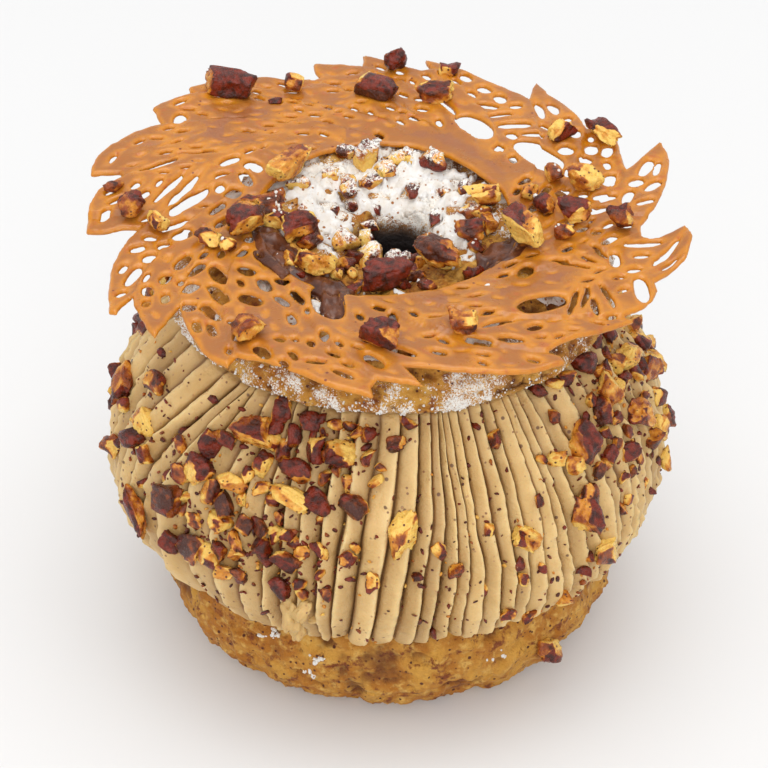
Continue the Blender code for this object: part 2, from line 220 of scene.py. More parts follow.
class Nodes:
    """Short names for the few kinds of shader node that the finishes use."""

    def __init__(self, name):
        self.material = bpy.data.materials.new(name)
        self.material.use_nodes = True
        self.tree = self.material.node_tree
        self.shader = self.tree.nodes["Principled BSDF"]
        self.place = self.tree.nodes.new("ShaderNodeTexCoord").outputs["Object"]

    def link(self, source, target):
        """Joins an output to an input, or sets the input when given a plain value."""
        if isinstance(source, (int, float, tuple)):
            target.default_value = source
        else:
            self.tree.links.new(source, target)

    def noise(self, size, detail=3.0, roughness=0.55):
        """Cloudy value from 0 to 1 with features of the given size in millimetres."""
        node = self.tree.nodes.new("ShaderNodeTexNoise")
        node.inputs["Scale"].default_value = 1.0 / (size * MM)
        node.inputs["Detail"].default_value = detail
        node.inputs["Roughness"].default_value = roughness
        self.link(self.place, node.inputs["Vector"])
        return node.outputs["Fac"]

    def cells(self, size):
        """Distance to the nearest cell point, in cell sizes, and a value for each cell."""
        node = self.tree.nodes.new("ShaderNodeTexVoronoi")
        node.inputs["Scale"].default_value = 1.0 / (size * MM)
        self.link(self.place, node.inputs["Vector"])
        parts = self.tree.nodes.new("ShaderNodeSeparateColor")
        self.link(node.outputs["Color"], parts.inputs["Color"])
        return node.outputs["Distance"], parts.outputs["Red"]

    def mark(self, name):
        """A value stored for each point of the mesh."""
        node = self.tree.nodes.new("ShaderNodeAttribute")
        node.attribute_name = name
        return node.outputs["Fac"]

    def sum(self, operation, first, second):
        """One step of arithmetic on two values."""
        node = self.tree.nodes.new("ShaderNodeMath")
        node.operation = operation
        self.link(first, node.inputs[0])
        self.link(second, node.inputs[1])
        return node.outputs["Value"]

    def span(self, value, low, high, to_low=0.0, to_high=1.0):
        """Maps a value's range onto another one, with a soft start and end."""
        node = self.tree.nodes.new("ShaderNodeMapRange")
        node.interpolation_type = "SMOOTHSTEP"
        for place, number in (("From Min", low), ("From Max", high), ("To Min", to_low), ("To Max", to_high)):
            node.inputs[place].default_value = number
        self.link(value, node.inputs["Value"])
        return node.outputs["Result"]

    def mix(self, share, first, second):
        """Blends from the first colour to the second."""
        node = self.tree.nodes.new("ShaderNodeMix")
        node.data_type = "RGBA"
        self.link(share, node.inputs["Factor"])
        self.link(first, node.inputs["A"])
        self.link(second, node.inputs["B"])
        return node.outputs["Result"]

    def bump(self, height, depth, before=None):
        """Fine relief whose height value spans depth millimetres."""
        node = self.tree.nodes.new("ShaderNodeBump")
        node.inputs["Strength"].default_value = 1.0
        node.inputs["Distance"].default_value = depth * MM
        self.link(height, node.inputs["Height"])
        if before is not None:
            self.link(before, node.inputs["Normal"])
        return node.outputs["Normal"]

    def finish(self, base, roughness, normal=None, **fixed):
        """Sets the shader up and returns the material."""
        self.link(base, self.shader.inputs["Base Color"])
        self.link(roughness, self.shader.inputs["Roughness"])
        if normal is not None:
            self.link(normal, self.shader.inputs["Normal"])
        for name, value in fixed.items():
            self.shader.inputs[name.replace("_", " ")].default_value = value
        return self.material


def choux_finish(name, sugar_and_hole_shade=False):
    """Baked choux crust: golden with browner patches, dark specks, painted shade in its hollows and a
    crackled relief; the lid's crust also gets icing sugar and painted shade down its hole.
    """
    n = Nodes(name)
    crust = n.mix(n.span(n.noise(6.0), 0.36, 0.62), colour(210, 154, 64), colour(178, 112, 34))
    crust = n.mix(n.span(n.noise(1.6, 4.0), 0.5, 0.72), crust, colour(220, 172, 88))
    crust = n.mix(n.span(n.noise(2.4, 5.0, 0.7), 0.52, 0.66), crust, colour(128, 64, 28))
    for size, width, share in ((1.9, 0.2, 0.5), (1.1, 0.24, 0.62)):
        distance, pick = n.cells(size)
        speck = n.sum("MULTIPLY", n.span(distance, width, width * 0.6), n.span(pick, share, share + 0.05))
        crust = n.mix(speck, crust, colour(88, 40, 22))
    # Painted shade: darker down in the crust's lowest hollows.
    crust = n.mix(n.sum("MULTIPLY", n.mark("pit_shade"), 0.8), crust, colour(96, 44, 20))
    relief = n.bump(n.noise(0.9, 5.0, 0.65), 0.75)
    relief = n.bump(n.noise(0.28, 3.0, 0.6), 0.12, relief)
    if sugar_and_hole_shade:
        grain = n.noise(0.3, 4.0, 0.75)
        cover = n.sum("ADD", n.mark("sugar"), n.sum("MULTIPLY", n.sum("SUBTRACT", grain, 0.5), 2.7))
        cover = n.span(cover, 0.42, 0.62)
        crust = n.mix(cover, crust, colour(248, 243, 234))
        # Painted shade: near black down the lid's hole.
        crust = n.mix(n.mark("hole_shade"), crust, colour(22, 12, 10))
        roughness = n.span(cover, 0.0, 1.0, 0.62, 0.95)
    else:
        roughness = n.span(n.noise(1.4), 0.3, 0.7, 0.5, 0.72)
    return n.finish(crust, roughness, relief, Specular_IOR_Level=0.3)


def cream_finish():
    """Praline cream: satin beige, ground nut specks, a painted highlight along the pleats' crisp edges and
    painted shade down in their grooves.
    """
    n = Nodes("praline_cream_finish")
    body = n.mix(n.span(n.noise(9.0), 0.35, 0.65), colour(219, 182, 120), colour(202, 163, 100))
    # Painted highlight: paler along the pleats' crisp edges.
    body = n.mix(n.sum("MULTIPLY", n.mark("crest"), 0.55), body, colour(239, 210, 154))
    # Painted shade: darker down in the pleats' grooves.
    body = n.mix(n.sum("MULTIPLY", n.mark("valley"), 0.84), body, colour(112, 70, 32))
    for size, width, share, shade in (
        (1.5, 0.17, 0.52, colour(120, 74, 48)),
        (2.6, 0.15, 0.6, colour(84, 44, 30)),
        (1.1, 0.22, 0.6, colour(176, 132, 88)),
    ):
        distance, pick = n.cells(size)
        speck = n.sum("MULTIPLY", n.span(distance, width, width * 0.6), n.span(pick, share, share + 0.03))
        body = n.mix(n.sum("MULTIPLY", speck, 0.8), body, shade)
    relief = n.bump(n.noise(1.3, 4.0, 0.65), 0.34)
    relief = n.bump(n.noise(0.4, 3.0, 0.6), 0.1, relief)
    roughness = n.span(n.noise(2.0), 0.3, 0.7, 0.46, 0.62)
    return n.finish(
        body, roughness, relief, Subsurface_Weight=0.2, Subsurface_Scale=0.003,
        Subsurface_Radius=(1.0, 0.6, 0.3),
    )


def caramel_finish():
    """Lace caramel: paler amber where it is thin, with a painted glow of light shining through it there;
    mauve-brown where it is thick.
    """
    n = Nodes("caramel_finish")
    # Thin caramel is paler amber, and the same mark also paints a glow of light shining through it.
    thin = n.mark("thin")
    cloud = n.sum("ADD", thin, n.sum("MULTIPLY", n.sum("SUBTRACT", n.noise(5.0, 3.0), 0.42), 1.5))
    body = n.mix(n.span(cloud, 0.0, 0.7), colour(163, 99, 35), colour(198, 126, 24))
    body = n.mix(n.span(n.noise(2.0, 3.0), 0.56, 0.8), body, colour(176, 92, 32))
    thick = n.sum("ADD", n.mark("plate"), n.sum("MULTIPLY", n.sum("SUBTRACT", n.noise(3.4, 3.0), 0.5), 1.2))
    body = n.mix(n.sum("MULTIPLY", n.span(thick, 0.25, 1.0), 0.8), body, colour(152, 92, 54))
    distance, pick = n.cells(2.2)
    speck = n.sum("MULTIPLY", n.span(distance, 0.13, 0.07), n.span(pick, 0.7, 0.74))
    body = n.mix(speck, body, colour(120, 52, 22))
    relief = n.bump(n.noise(2.4, 3.0, 0.5), 0.35)
    roughness = n.span(n.noise(3.0), 0.3, 0.7, 0.26, 0.42)
    return n.finish(
        body, roughness, relief, Subsurface_Weight=0.25, Subsurface_Scale=0.002,
        Subsurface_Radius=(1.0, 0.55, 0.18), Coat_Weight=0.12, Coat_Roughness=0.15,
    )


def nut_finish():
    """Toasted nut: yellow flesh that browns with toasting, and a dark red skin."""
    n = Nodes("toasted_nut_finish")
    patches = n.sum("MULTIPLY", n.sum("SUBTRACT", n.noise(1.7, 4.0), 0.5), 1.5)
    toast = n.sum("ADD", n.mark("toast"), patches)
    flesh = n.mix(n.span(toast, 0.0, 0.4), colour(240, 196, 98), colour(212, 138, 44))
    flesh = n.mix(n.span(toast, 0.35, 0.7), flesh, colour(146, 68, 20))
    flesh = n.mix(n.span(toast, 0.65, 1.05), flesh, colour(72, 30, 14))
    distance, pick = n.cells(0.8)
    speck = n.sum("MULTIPLY", n.span(distance, 0.3, 0.18), n.span(pick, 0.6, 0.64))
    flesh = n.mix(speck, flesh, colour(96, 44, 24))
    skin = n.mix(n.span(n.noise(1.4, 3.0), 0.35, 0.65), colour(124, 38, 15), colour(60, 19, 9))
    edge = n.sum("ADD", n.mark("skin"), n.sum("MULTIPLY", n.sum("SUBTRACT", n.noise(0.8, 3.0), 0.5), 0.6))
    body = n.mix(n.span(edge, 0.42, 0.6), flesh, skin)
    grain = n.sum("SUBTRACT", n.noise(0.5, 5.0, 0.85), 0.5)
    powder = n.sum("ADD", n.mark("dust"), n.sum("MULTIPLY", grain, 3.2))
    body = n.mix(n.span(powder, 0.62, 0.92), body, colour(246, 241, 232))
    relief = n.bump(n.noise(0.7, 4.0, 0.6), 0.4)
    roughness = n.span(n.noise(1.0), 0.3, 0.7, 0.17, 0.36)
    return n.finish(
        body, roughness, relief, Subsurface_Weight=0.1, Subsurface_Scale=0.0015,
        Subsurface_Radius=(1.0, 0.5, 0.2), Specular_IOR_Level=0.42,
    )


def sugar_finish():
    """Icing sugar: dull white powder with some crumbs of crust in it."""
    n = Nodes("icing_sugar_finish")
    body = n.mix(n.span(n.noise(1.6), 0.35, 0.7), colour(253, 251, 248), colour(244, 237, 226))
    distance, pick = n.cells(0.9)
    speck = n.sum("MULTIPLY", n.span(distance, 0.34, 0.2), n.span(pick, 0.66, 0.7))
    body = n.mix(speck, body, colour(168, 108, 56))
    bare = n.span(n.noise(1.3, 6.0, 0.75), 0.58, 0.66)
    body = n.mix(n.sum("MULTIPLY", bare, 0.75), body, colour(204, 164, 112))
    relief = n.bump(n.noise(0.5, 4.0, 0.8), 0.4)
    return n.finish(body, 0.95, relief, Specular_IOR_Level=0.2)


def praline_finish():
    """Dark praline paste: grey-brown and smooth, with paler patches."""
    n = Nodes("praline_dab_finish")
    body = n.mix(n.span(n.noise(3.0), 0.35, 0.65), colour(112, 64, 38), colour(72, 36, 22))
    body = n.mix(n.span(n.noise(1.1, 3.0), 0.62, 0.72), body, colour(140, 92, 58))
    relief = n.bump(n.noise(1.4, 2.0), 0.15)
    return n.finish(
        body, n.span(n.noise(2.0), 0.3, 0.7, 0.2, 0.34), relief, Specular_IOR_Level=0.4,
    )


# ---------------------------------------------------------------- choux base

HOLE_RADIUS = 6.2
BASE_COLUMNS = 520
BASE_HEIGHT = BASE_HIGH[2]
BASE_RADIUS = 38.0
BASE_UNDERSIDE_RADIUS = 29.0
BASE_SWELL_HEIGHT = 12.5


def base_radius(height):
    """Outer radius of the base's wall at a height, before its unevenness."""
    below = np.clip(1.0 - height / BASE_SWELL_HEIGHT, 0.0, 1.0)
    over = np.clip((height - BASE_SWELL_HEIGHT) / (BASE_HEIGHT - BASE_SWELL_HEIGHT), 0.0, 1.0)
    return BASE_RADIUS - (BASE_RADIUS - BASE_UNDERSIDE_RADIUS) * below**2.6 - 0.9 * over**2


def resample(section, steps):
    """Spreads points evenly along the open polyline that section gives."""
    section = np.asarray(section, float)
    run = np.concatenate([[0.0], np.cumsum(np.linalg.norm(np.diff(section, axis=0), axis=1))])
    places = np.linspace(0.0, run[-1], steps)
    return np.stack([np.interp(places, run, section[:, axis]) for axis in (0, 1)], -1)


def spun(section, columns, closed=True):
    """Points and section normals of a profile turned about the axis."""
    ahead = np.roll(section, -1, 0) - np.roll(section, 1, 0)
    normal = np.stack([ahead[:, 1], -ahead[:, 0]], -1)
    normal /= np.linalg.norm(normal, axis=1)[:, None] + 1e-9
    angle = np.arange(columns) * TAU / columns
    shape = (len(section), columns)
    angles = np.broadcast_to(angle[None, :], shape).ravel()
    radius, height = (np.repeat(section[:, axis], columns) for axis in (0, 1))
    out, rise = (np.repeat(normal[:, axis], columns) for axis in (0, 1))
    return polar(radius, angles, height), polar(out, angles, rise), angles


def build_base():
    """The lower half of the choux ring, with crumbs round its foot."""
    heights = np.linspace(0.0, 1.0, 90) ** 1.25 * (BASE_HEIGHT - 0.4)
    wall = resample(np.stack([base_radius(heights), heights], -1), 112)
    underside = [(HOLE_RADIUS, 0.0), (14.0, 0.0), (21.0, 0.0), (25.5, 0.0)]
    top = [(BASE_RADIUS - 2.6, BASE_HEIGHT), (BASE_RADIUS - 5.0, BASE_HEIGHT), (HOLE_RADIUS, BASE_HEIGHT)]
    section = np.array(underside + wall.tolist() + top)
    points, out, _ = spun(section, BASE_COLUMNS)
    free = smooth(0.05, 2.5, points[:, 2]) * smooth(26.5, 30.0, np.hypot(points[:, 0], points[:, 1]))
    lift = layered(points, ((14.0, 0.75), (6.0, 0.6), (2.6, 0.5), (1.2, 0.32), (0.6, 0.14)), 3)
    pits = -0.7 * smooth(0.42, 0.75, noise(points, 2.4, 91))
    points = points + out * ((lift + pits) * free)[:, None]
    edge = np.exp(-((points[:, 2] - 0.9) / 0.8) ** 2) * (np.hypot(points[:, 0], points[:, 1]) > 29)
    crumbs = smooth(0.25, 0.6, noise(points, 1.3, 57)) * edge
    points += out * (0.7 * crumbs)[:, None]
    points[:, 2] = np.maximum(points[:, 2], 0.0)
    faces = ring_faces(len(section), BASE_COLUMNS, True)
    # Painted shade in the lowest hollows of the crust.
    marks = {"pit_shade": smooth(-0.25, -1.1, lift + pits) * free}
    piece = add_piece("baked_base", points, faces[:, ::-1], choux_finish("base_crust_finish"), marks)
    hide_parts("choux_base")
    return piece


# ---------------------------------------------------------------- praline cream

CREAM_RADIUS = 45.2
CREAM_TOP_RADIUS = 34.0
CREAM_LIP_RADIUS = 39.2
CREAM_WAIST = 31.0
CREAM_LIP = 18.6
CREAM_TOP = CREAM_HIGH[2]
PLEATS = 94
PLEAT_SECTION = (  # place across a pleat, how deep it is there, and how far from the crisp edge
    (0.00, 1.00, 0.0), (0.05, 0.75, 0.0), (0.12, 0.42, 0.0), (0.25, 0.28, 0.0),
    (0.42, 0.20, 0.0), (0.58, 0.13, 0.1), (0.73, 0.05, 0.5), (0.84, 0.00, 1.0),
    (0.91, 0.14, 0.8), (0.96, 0.62, 0.1),
)
LONG_TONGUES = (  # angle, and how much further the cream hangs down there
    (250, 2.6),
    (257, 1.2),
    (232, 1.0),
    (221, 0.8),
)
CREAM_ROWS = 92
HEM = (  # angle, and the usual height of the cream's lower edge there
    (0, 20.6), (190, 20.4), (212, 19.6), (224, 18.6), (236, 17.8), (250, 18.0),
    (260, 19.0), (268, 20.4), (300, 20.6), (320, 20.8), (360, 20.6),
)


def cream_radius(height):
    """Radius of the pleats' crests at a height."""
    upper = np.clip((height - CREAM_WAIST) / (CREAM_TOP - CREAM_WAIST), 0.0, 1.0)
    lower = np.clip((CREAM_WAIST - height) / (CREAM_WAIST - CREAM_LIP), 0.0, 1.3)
    upper_loss = (CREAM_RADIUS - CREAM_TOP_RADIUS) * upper**2.2
    return CREAM_RADIUS - upper_loss - (CREAM_RADIUS - CREAM_LIP_RADIUS) * lower**2


def strokes():
    """Groups the pleats into piped strokes; gives each pleat its stroke's start and width."""
    groups, place = [], 0
    while place < PLEATS:
        width = min(int(CHANCE.integers(2, 5)), PLEATS - place)
        groups += [(place, width, CHANCE.uniform(0, 1))] * width
        place += width
    return groups


def build_cream():
    """The piped cream: pleats of uneven width that sway, close up and hang over the base."""
    even = np.arange(PLEATS) / PLEATS * 360
    widths = CHANCE.uniform(0.68, 1.32, PLEATS) * (1 + 0.9 * np.exp(-(((even - 226) / 20) ** 2)))
    starts = np.concatenate([[0.0], np.cumsum(widths)]) * PLEATS / widths.sum()
    starts, ends = starts[:-1], starts[1:]
    depth = CHANCE.uniform(1.2, 3.1, PLEATS)
    proud = CHANCE.uniform(-0.35, 0.45, PLEATS)
    closing = np.where(CHANCE.uniform(0, 1, PLEATS) < 0.3, CHANCE.uniform(30, 52, PLEATS), 99.0)
    opening = np.where(CHANCE.uniform(0, 1, PLEATS) < 0.22, CHANCE.uniform(28, 44, PLEATS), -99.0)
    angle, valley, crest, hang, swell = [], [], [], [], []
    for pleat, (first, width, luck) in enumerate(strokes()):
        turn = math.degrees((starts[pleat] + 0.5) * TAU / PLEATS) % 360
        mirrored = 90 < turn < 262
        longer = sum(more * math.exp(-(((turn - at) / 2.6) ** 2)) for at, more in LONG_TONGUES)
        section = PLEAT_SECTION
        if mirrored:
            section = [(1 - place, *rest) for place, *rest in PLEAT_SECTION[::-1]]
        for share, low, edge in section:
            across = starts[pleat] + share * (ends[pleat] - starts[pleat])
            angle.append(across * TAU / PLEATS)
            deeper = 1.25 if pleat == first + width - 1 else 1.0
            valley.append(depth[pleat] * deeper * low - proud[pleat] * (1 - low))
            crest.append(edge)
            inside = (pleat - first + share) / width * 2 - 1
            tongue = 0.5 * (1 - abs(2 * share - 1) ** 2.4) + 0.6 * (1 - abs(inside) ** 2.4)
            hang.append(tongue + 0.8 * (luck - 0.5) + longer / 3.0)
            swell.append(0.5 * (1 - inside**2))
    angle, valley, crest, hang, swell = (np.array(row) for row in (angle, valley, crest, hang, swell))
    columns = len(angle)
    share = np.linspace(0.0, 1.0, CREAM_ROWS)[:, None]
    hem = around_table(HEM, angle)
    lip = np.minimum(hem + 2.0 - 3.0 * hang, BASE_HEIGHT + 0.1)[None, :]
    height = CREAM_TOP + (lip - CREAM_TOP) * share
    roll = smooth(0.95, 1.0, share)
    fade = smooth(-0.02, 0.06, share) * (1 - 0.75 * roll)
    flat = np.stack([np.cos(angle) * 40, np.sin(angle) * 40, 0 * angle], -1)
    sway = TAU / PLEATS * 1.6 * noise(flat, 16.0, 5)[None, :] * ((height - 36.0) / 22.0)
    wave = np.stack(np.broadcast_arrays(40 * np.cos(angle)[None, :], 40 * np.sin(angle)[None, :], height), -1)
    flow = wave.reshape(-1, 3) * np.array([1.0, 1.0, 0.35])
    sway = sway + (0.013 * noise(flow, 3.2, 11) + 0.004 * noise(flow, 1.6, 12)).reshape(height.shape)
    depth_flow = (1.0 + 0.35 * noise(flow, 4.5, 13)).reshape(height.shape)
    closing, opening = (np.repeat(row, len(PLEAT_SECTION))[None, :] for row in (closing, opening))
    depth_flow = depth_flow * (1 - 0.7 * smooth(closing - 3, closing + 5, height))
    depth_flow = depth_flow * (1 - 0.6 * smooth(opening + 3, opening - 5, height))
    radius = cream_radius(height) - valley[None, :] * fade * depth_flow + swell[None, :] * fade
    radius = np.maximum(radius, (base_radius(height) + 1.3) * (height < BASE_HEIGHT))
    radius = radius - 1.6 * roll**2
    left = np.exp(-(((np.degrees(angle) % 360 - 214) / 22) ** 2))[None, :]
    sway = sway + 0.3 * left * np.clip((height - 38.0) / 21.0, 0, 1) ** 1.5
    turns = angle[None, :] + sway
    points = np.stack([radius * np.cos(turns), radius * np.sin(turns), height], -1).reshape(-1, 3)
    out = np.stack([np.cos(turns), np.sin(turns), 0 * turns], -1).reshape(-1, 3)
    rough = layered(points, ((5.0, 0.3), (1.9, 0.19), (1.1, 0.08)), 31)
    rough += 0.16 * noise(points * np.array([1, 1, 0.16]), 1.3, 35)
    tear = np.tile(crest, CREAM_ROWS) * noise(points * np.array([1, 1, 1.3]), 1.5, 77) * 0.42
    points += out * (rough + tear)[:, None]
    shut = []
    for row_radius, row_height in (
        (BASE_RADIUS + 0.6, np.minimum(lip[0] + 1.4, BASE_HEIGHT + 0.3)),
        (BASE_RADIUS - 1.4, BASE_HEIGHT + 0.3),
        (HOLE_RADIUS, BASE_HEIGHT + 0.3),
        (HOLE_RADIUS, 38.0),
        (HOLE_RADIUS, CREAM_TOP),
    ):
        shut.append(polar(np.full(columns, row_radius), angle, np.zeros(columns) + row_height))
    points = np.concatenate([points] + shut)
    rows = CREAM_ROWS + len(shut)
    faces = ring_faces(rows, columns, True)
    pad = np.zeros(columns * len(shut))
    marks = {
        # Painted highlight along the crisp edges; the same values also roughen the edges above.
        "crest": np.concatenate([np.tile(crest, CREAM_ROWS), pad]),
        # Painted shade: the deeper the groove, the darker it is painted; the same values also set the
        # groove's depth.
        "valley": np.concatenate([np.tile(np.clip(valley / 1.6, 0, 1), CREAM_ROWS), pad]),
    }
    piece = add_piece("piped_cream", points, faces, cream_finish(), marks)
    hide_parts("praline_cream")
    return piece


CREAM_SHREDS = (  # angle, height, half-length, half-width, half-thickness and turn
    (250.5, 27.5, 3.4, 1.5, 1.6, 95),
    (253.0, 29.0, 2.4, 1.2, 1.3, 60),
    (248.0, 30.0, 2.6, 1.1, 1.2, 120),
    (255.5, 27.0, 1.9, 1.0, 1.1, 20),
    (251.0, 24.0, 2.6, 1.4, 1.2, 85),
)


def build_shreds(finish):
    """A few torn scraps of cream that stand out from the pleats at the front left."""
    points, faces = BALLS[4]
    heap = Heap("crest", "valley")
    for number, (angle, height, long, wide, thick, turn) in enumerate(CREAM_SHREDS):
        around = math.radians(angle)
        out = np.array([math.cos(around), math.sin(around), 0.0])
        found = cast(["piped_cream"], out * 60 + np.array([0, 0, height]), -out)
        torn = 0.3 * noise(points + number * 7, 0.6, 2) + 0.16 * noise(points + number * 7, 0.24, 3)
        shape = points * (1 + torn)[:, None] * np.array([long, wide, thick])
        axes = level_basis(out, math.radians(turn))
        # Painted highlight where a scrap bulges out most.
        heap.add(found[0] + out * 0.2 + shape @ axes, faces, crest=0.6 * smooth(0, 1, torn), valley=0.0)
    heap.piece("cream_shreds", finish, "praline_cream")


# ---------------------------------------------------------------- choux lid

LID_CENTRE_X = (LID_LOW[0] + LID_HIGH[0]) / 2
LID_BOTTOM = LID_LOW[2]
LID_RADIUS = 35.5
LID_SHOULDER = 60.7
LID_CREST_RADIUS = 19.5
LID_CREST = 72.3
LID_LEAN = 1.9
LID_HOLE_RADIUS = 4.5
LID_COLUMNS = 500


def build_lid():
    """The upper half of the choux ring, dusted in patches."""
    turn = np.linspace(math.pi / 2, 0.0, 70)
    outer = LID_CREST_RADIUS + (LID_RADIUS - LID_CREST_RADIUS) * np.sin(turn)
    outer_height = np.cos(turn)
    back = np.linspace(0.0, math.pi / 2, 46)[1:]
    inner = LID_CREST_RADIUS - (LID_CREST_RADIUS - LID_HOLE_RADIUS) * np.sin(back)
    section = [(LID_HOLE_RADIUS, LID_BOTTOM, 0.0), (20.0, LID_BOTTOM, 0.0), (32.5, LID_BOTTOM, 0.0)]
    section += [(34.4, LID_BOTTOM + 0.3, 0.0), (35.2, LID_BOTTOM + 0.7, 0.0)]
    section += [(r, LID_SHOULDER, c) for r, c in zip(outer, outer_height)]
    section += [(r, LID_BOTTOM + 5.0, c) for r, c in zip(inner, np.cos(back))]
    section += [(LID_HOLE_RADIUS, LID_BOTTOM + 2.5, 0.0)]
    section = np.array(section)
    crest_line = section[:, 1] + (LID_CREST - section[:, 1]) * section[:, 2]
    points, out, angles = spun(np.stack([section[:, 0], crest_line], -1), LID_COLUMNS)
    share = np.repeat(section[:, 2], LID_COLUMNS)
    points[:, 2] += LID_LEAN * np.sin(angles) * share
    free = smooth(LID_BOTTOM - 0.1, LID_BOTTOM + 1.2, points[:, 2])
    free *= smooth(LID_HOLE_RADIUS - 0.1, LID_HOLE_RADIUS + 2.5, np.hypot(points[:, 0], points[:, 1]))
    lift = layered(points, ((11.0, 0.8), (5.0, 0.6), (2.2, 0.5), (1.3, 0.45), (0.7, 0.28)), 21)
    points += out * ((lift - 0.25) * free)[:, None]
    radius = np.hypot(points[:, 0], points[:, 1])
    patches = noise(points, 5.0, 61) * 0.42 + noise(points, 1.8, 62) * 0.34
    rim = smooth(31.0, 34.5, radius)
    grains = smooth(-0.5, 0.6, lift)
    sugar = 0.4 * smooth(30.0, 14.0, radius) + 0.08 + 0.02 * rim
    sugar += (1.2 - 0.7 * rim) * patches + 0.5 * grains * rim
    sugar *= smooth(3.5, 7.5, radius)
    sugar -= 0.75 * smooth(24.0, 18.0, radius) * smooth(0.0, -7.0, points[:, 1])
    # Painted shade in and round the lid's hole: full at its edge, gone 3.6 mm further out.
    hole_shade = smooth(LID_HOLE_RADIUS + 3.6, LID_HOLE_RADIUS + 0.4, radius)
    points[:, 0] += LID_CENTRE_X
    faces = ring_faces(len(section), LID_COLUMNS, True)
    # The lid's marks: sugar, painted shade down its hole, and painted shade in its lowest hollows.
    piece = add_piece(
        "baked_lid", points, faces[:, ::-1], choux_finish("lid_crust_finish", True),
        {"sugar": sugar, "hole_shade": hole_shade, "pit_shade": smooth(-0.2, -0.95, lift) * free},
    )
    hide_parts("choux_lid")
    return piece


# ---------------------------------------------------------------- lace tuile

TUILE_LEVEL = 73.6
TUILE_RISE = 2.7
TUILE_RISE_RUN = 20.0
TUILE_DROOP = 0.0025
TUILE_DROOP_START = 26.0
LEAF_LEAN = math.radians(50)
LACE_PITCH = 0.36
OUTLINE = (  # the lace's outer edge as x and y, anticlockwise from the notch on the right
    (39.3, -4.0), (39.6, -2.2), (40.4, -1.1), (42.0, 1.6), (43.4, 4.9), (44.5, 9.3), (45.3, 14.3),
    (45.1, 17.0), (44.4, 19.5), (43.1, 18.1), (40.7, 14.8), (38.1, 12.1), (37.8, 14.8),
    (37.6, 18.0), (37.2, 22.5), (35.6, 26.4), (33.8, 24.6), (32.4, 23.4), (31.3, 26.9),
    (29.7, 29.9), (28.3, 32.4), (26.9, 34.6), (25.8, 36.8), (25.1, 38.7), (24.2, 36.8),
    (23.6, 34.1), (23.1, 32.8), (22.0, 34.1), (19.2, 36.3), (16.5, 38.7), (14.3, 40.9),
    (11.8, 42.9), (9.0, 44.6), (6.3, 45.9), (6.7, 44.2), (7.9, 41.9), (5.5, 41.6), (3.3, 43.2),
    (0.0, 45.7), (-2.4, 46.8), (-4.4, 47.5), (-4.3, 45.5), (-4.6, 43.6), (-8.0, 44.9),
    (-10.2, 45.1), (-12.7, 45.6), (-12.3, 42.8), (-11.6, 41.0), (-13.5, 39.6), (-16.8, 39.7),
    (-20.1, 40.0), (-25.0, 39.6), (-29.5, 38.2), (-33.4, 36.3), (-32.9, 35.0), (-32.0, 34.0),
    (-35.2, 32.8), (-37.8, 31.0), (-39.1, 29.4), (-38.3, 28.0), (-37.4, 25.8), (-36.6, 24.3),
    (-38.8, 23.6), (-41.6, 21.7), (-44.9, 17.6), (-46.8, 14.3), (-47.6, 11.3), (-47.6, 9.6),
    (-45.7, 10.2), (-42.9, 10.3), (-42.0, 8.9), (-44.5, 7.6), (-46.0, 5.4), (-47.2, 2.2),
    (-47.3, -1.2), (-47.2, -3.2), (-44.3, -3.7), (-41.0, -3.1), (-38.5, -3.4), (-39.8, -4.9),
    (-41.3, -7.7), (-42.4, -11.5), (-42.6, -15.9), (-42.5, -19.8), (-41.9, -23.3),
    (-40.8, -23.6), (-40.2, -21.4), (-38.8, -19.4), (-38.4, -22.0), (-37.2, -25.3),
    (-36.1, -28.0), (-34.5, -30.4), (-33.9, -28.0), (-32.8, -25.3), (-31.6, -23.1),
    (-30.9, -25.6), (-30.0, -28.8), (-27.8, -33.3), (-25.6, -36.1), (-23.6, -37.8),
    (-23.2, -36.8), (-22.3, -35.6), (-19.0, -36.9), (-15.7, -38.5), (-12.7, -40.4),
    (-9.1, -42.7), (-5.3, -44.3), (-2.0, -45.2), (-2.4, -43.0), (-1.7, -41.2), (1.6, -42.0),
    (5.1, -42.9), (3.8, -40.3), (2.2, -38.1), (7.1, -38.3), (11.0, -38.6), (15.9, -39.1),
    (20.3, -38.6), (23.6, -37.5), (26.2, -36.2), (25.4, -34.9), (23.5, -34.0), (25.6, -31.9),
    (27.7, -30.6), (30.8, -29.2), (34.1, -27.3), (37.0, -25.2), (35.6, -24.3), (37.3, -23.3),
    (38.7, -22.3), (40.0, -20.4), (41.0, -18.0), (40.6, -16.0), (42.1, -14.9), (44.1, -13.3),
    (45.7, -12.1), (46.6, -9.0), (47.2, -6.9), (46.4, -4.2), (43.4, -4.0), (40.7, -4.6),
)
NOTCHES = (  # where a leaf's edge runs on inwards over the leaf beside it
    (39.3, -4.0), (38.1, 12.1), (32.4, 23.4), (23.1, 32.8), (7.9, 41.9), (-4.6, 43.6),
    (-13.5, 39.6), (-32.0, 34.0), (-36.6, 24.3), (-42.0, 8.9), (-38.5, -3.4), (-38.8, -19.4),
    (-31.6, -23.1), (-22.3, -35.6), (-1.7, -41.2), (23.5, -34.0), (35.6, -24.3),
)
INNER_EDGE = (  # angle, and the radius of the opening there
    (20, 18.6), (45, 17.6), (70, 18.6), (110, 19.5), (150, 20.0), (200, 20.5), (235, 21.6),
    (250, 21.4), (264, 20.4), (300, 19.8), (335, 21.0),
)
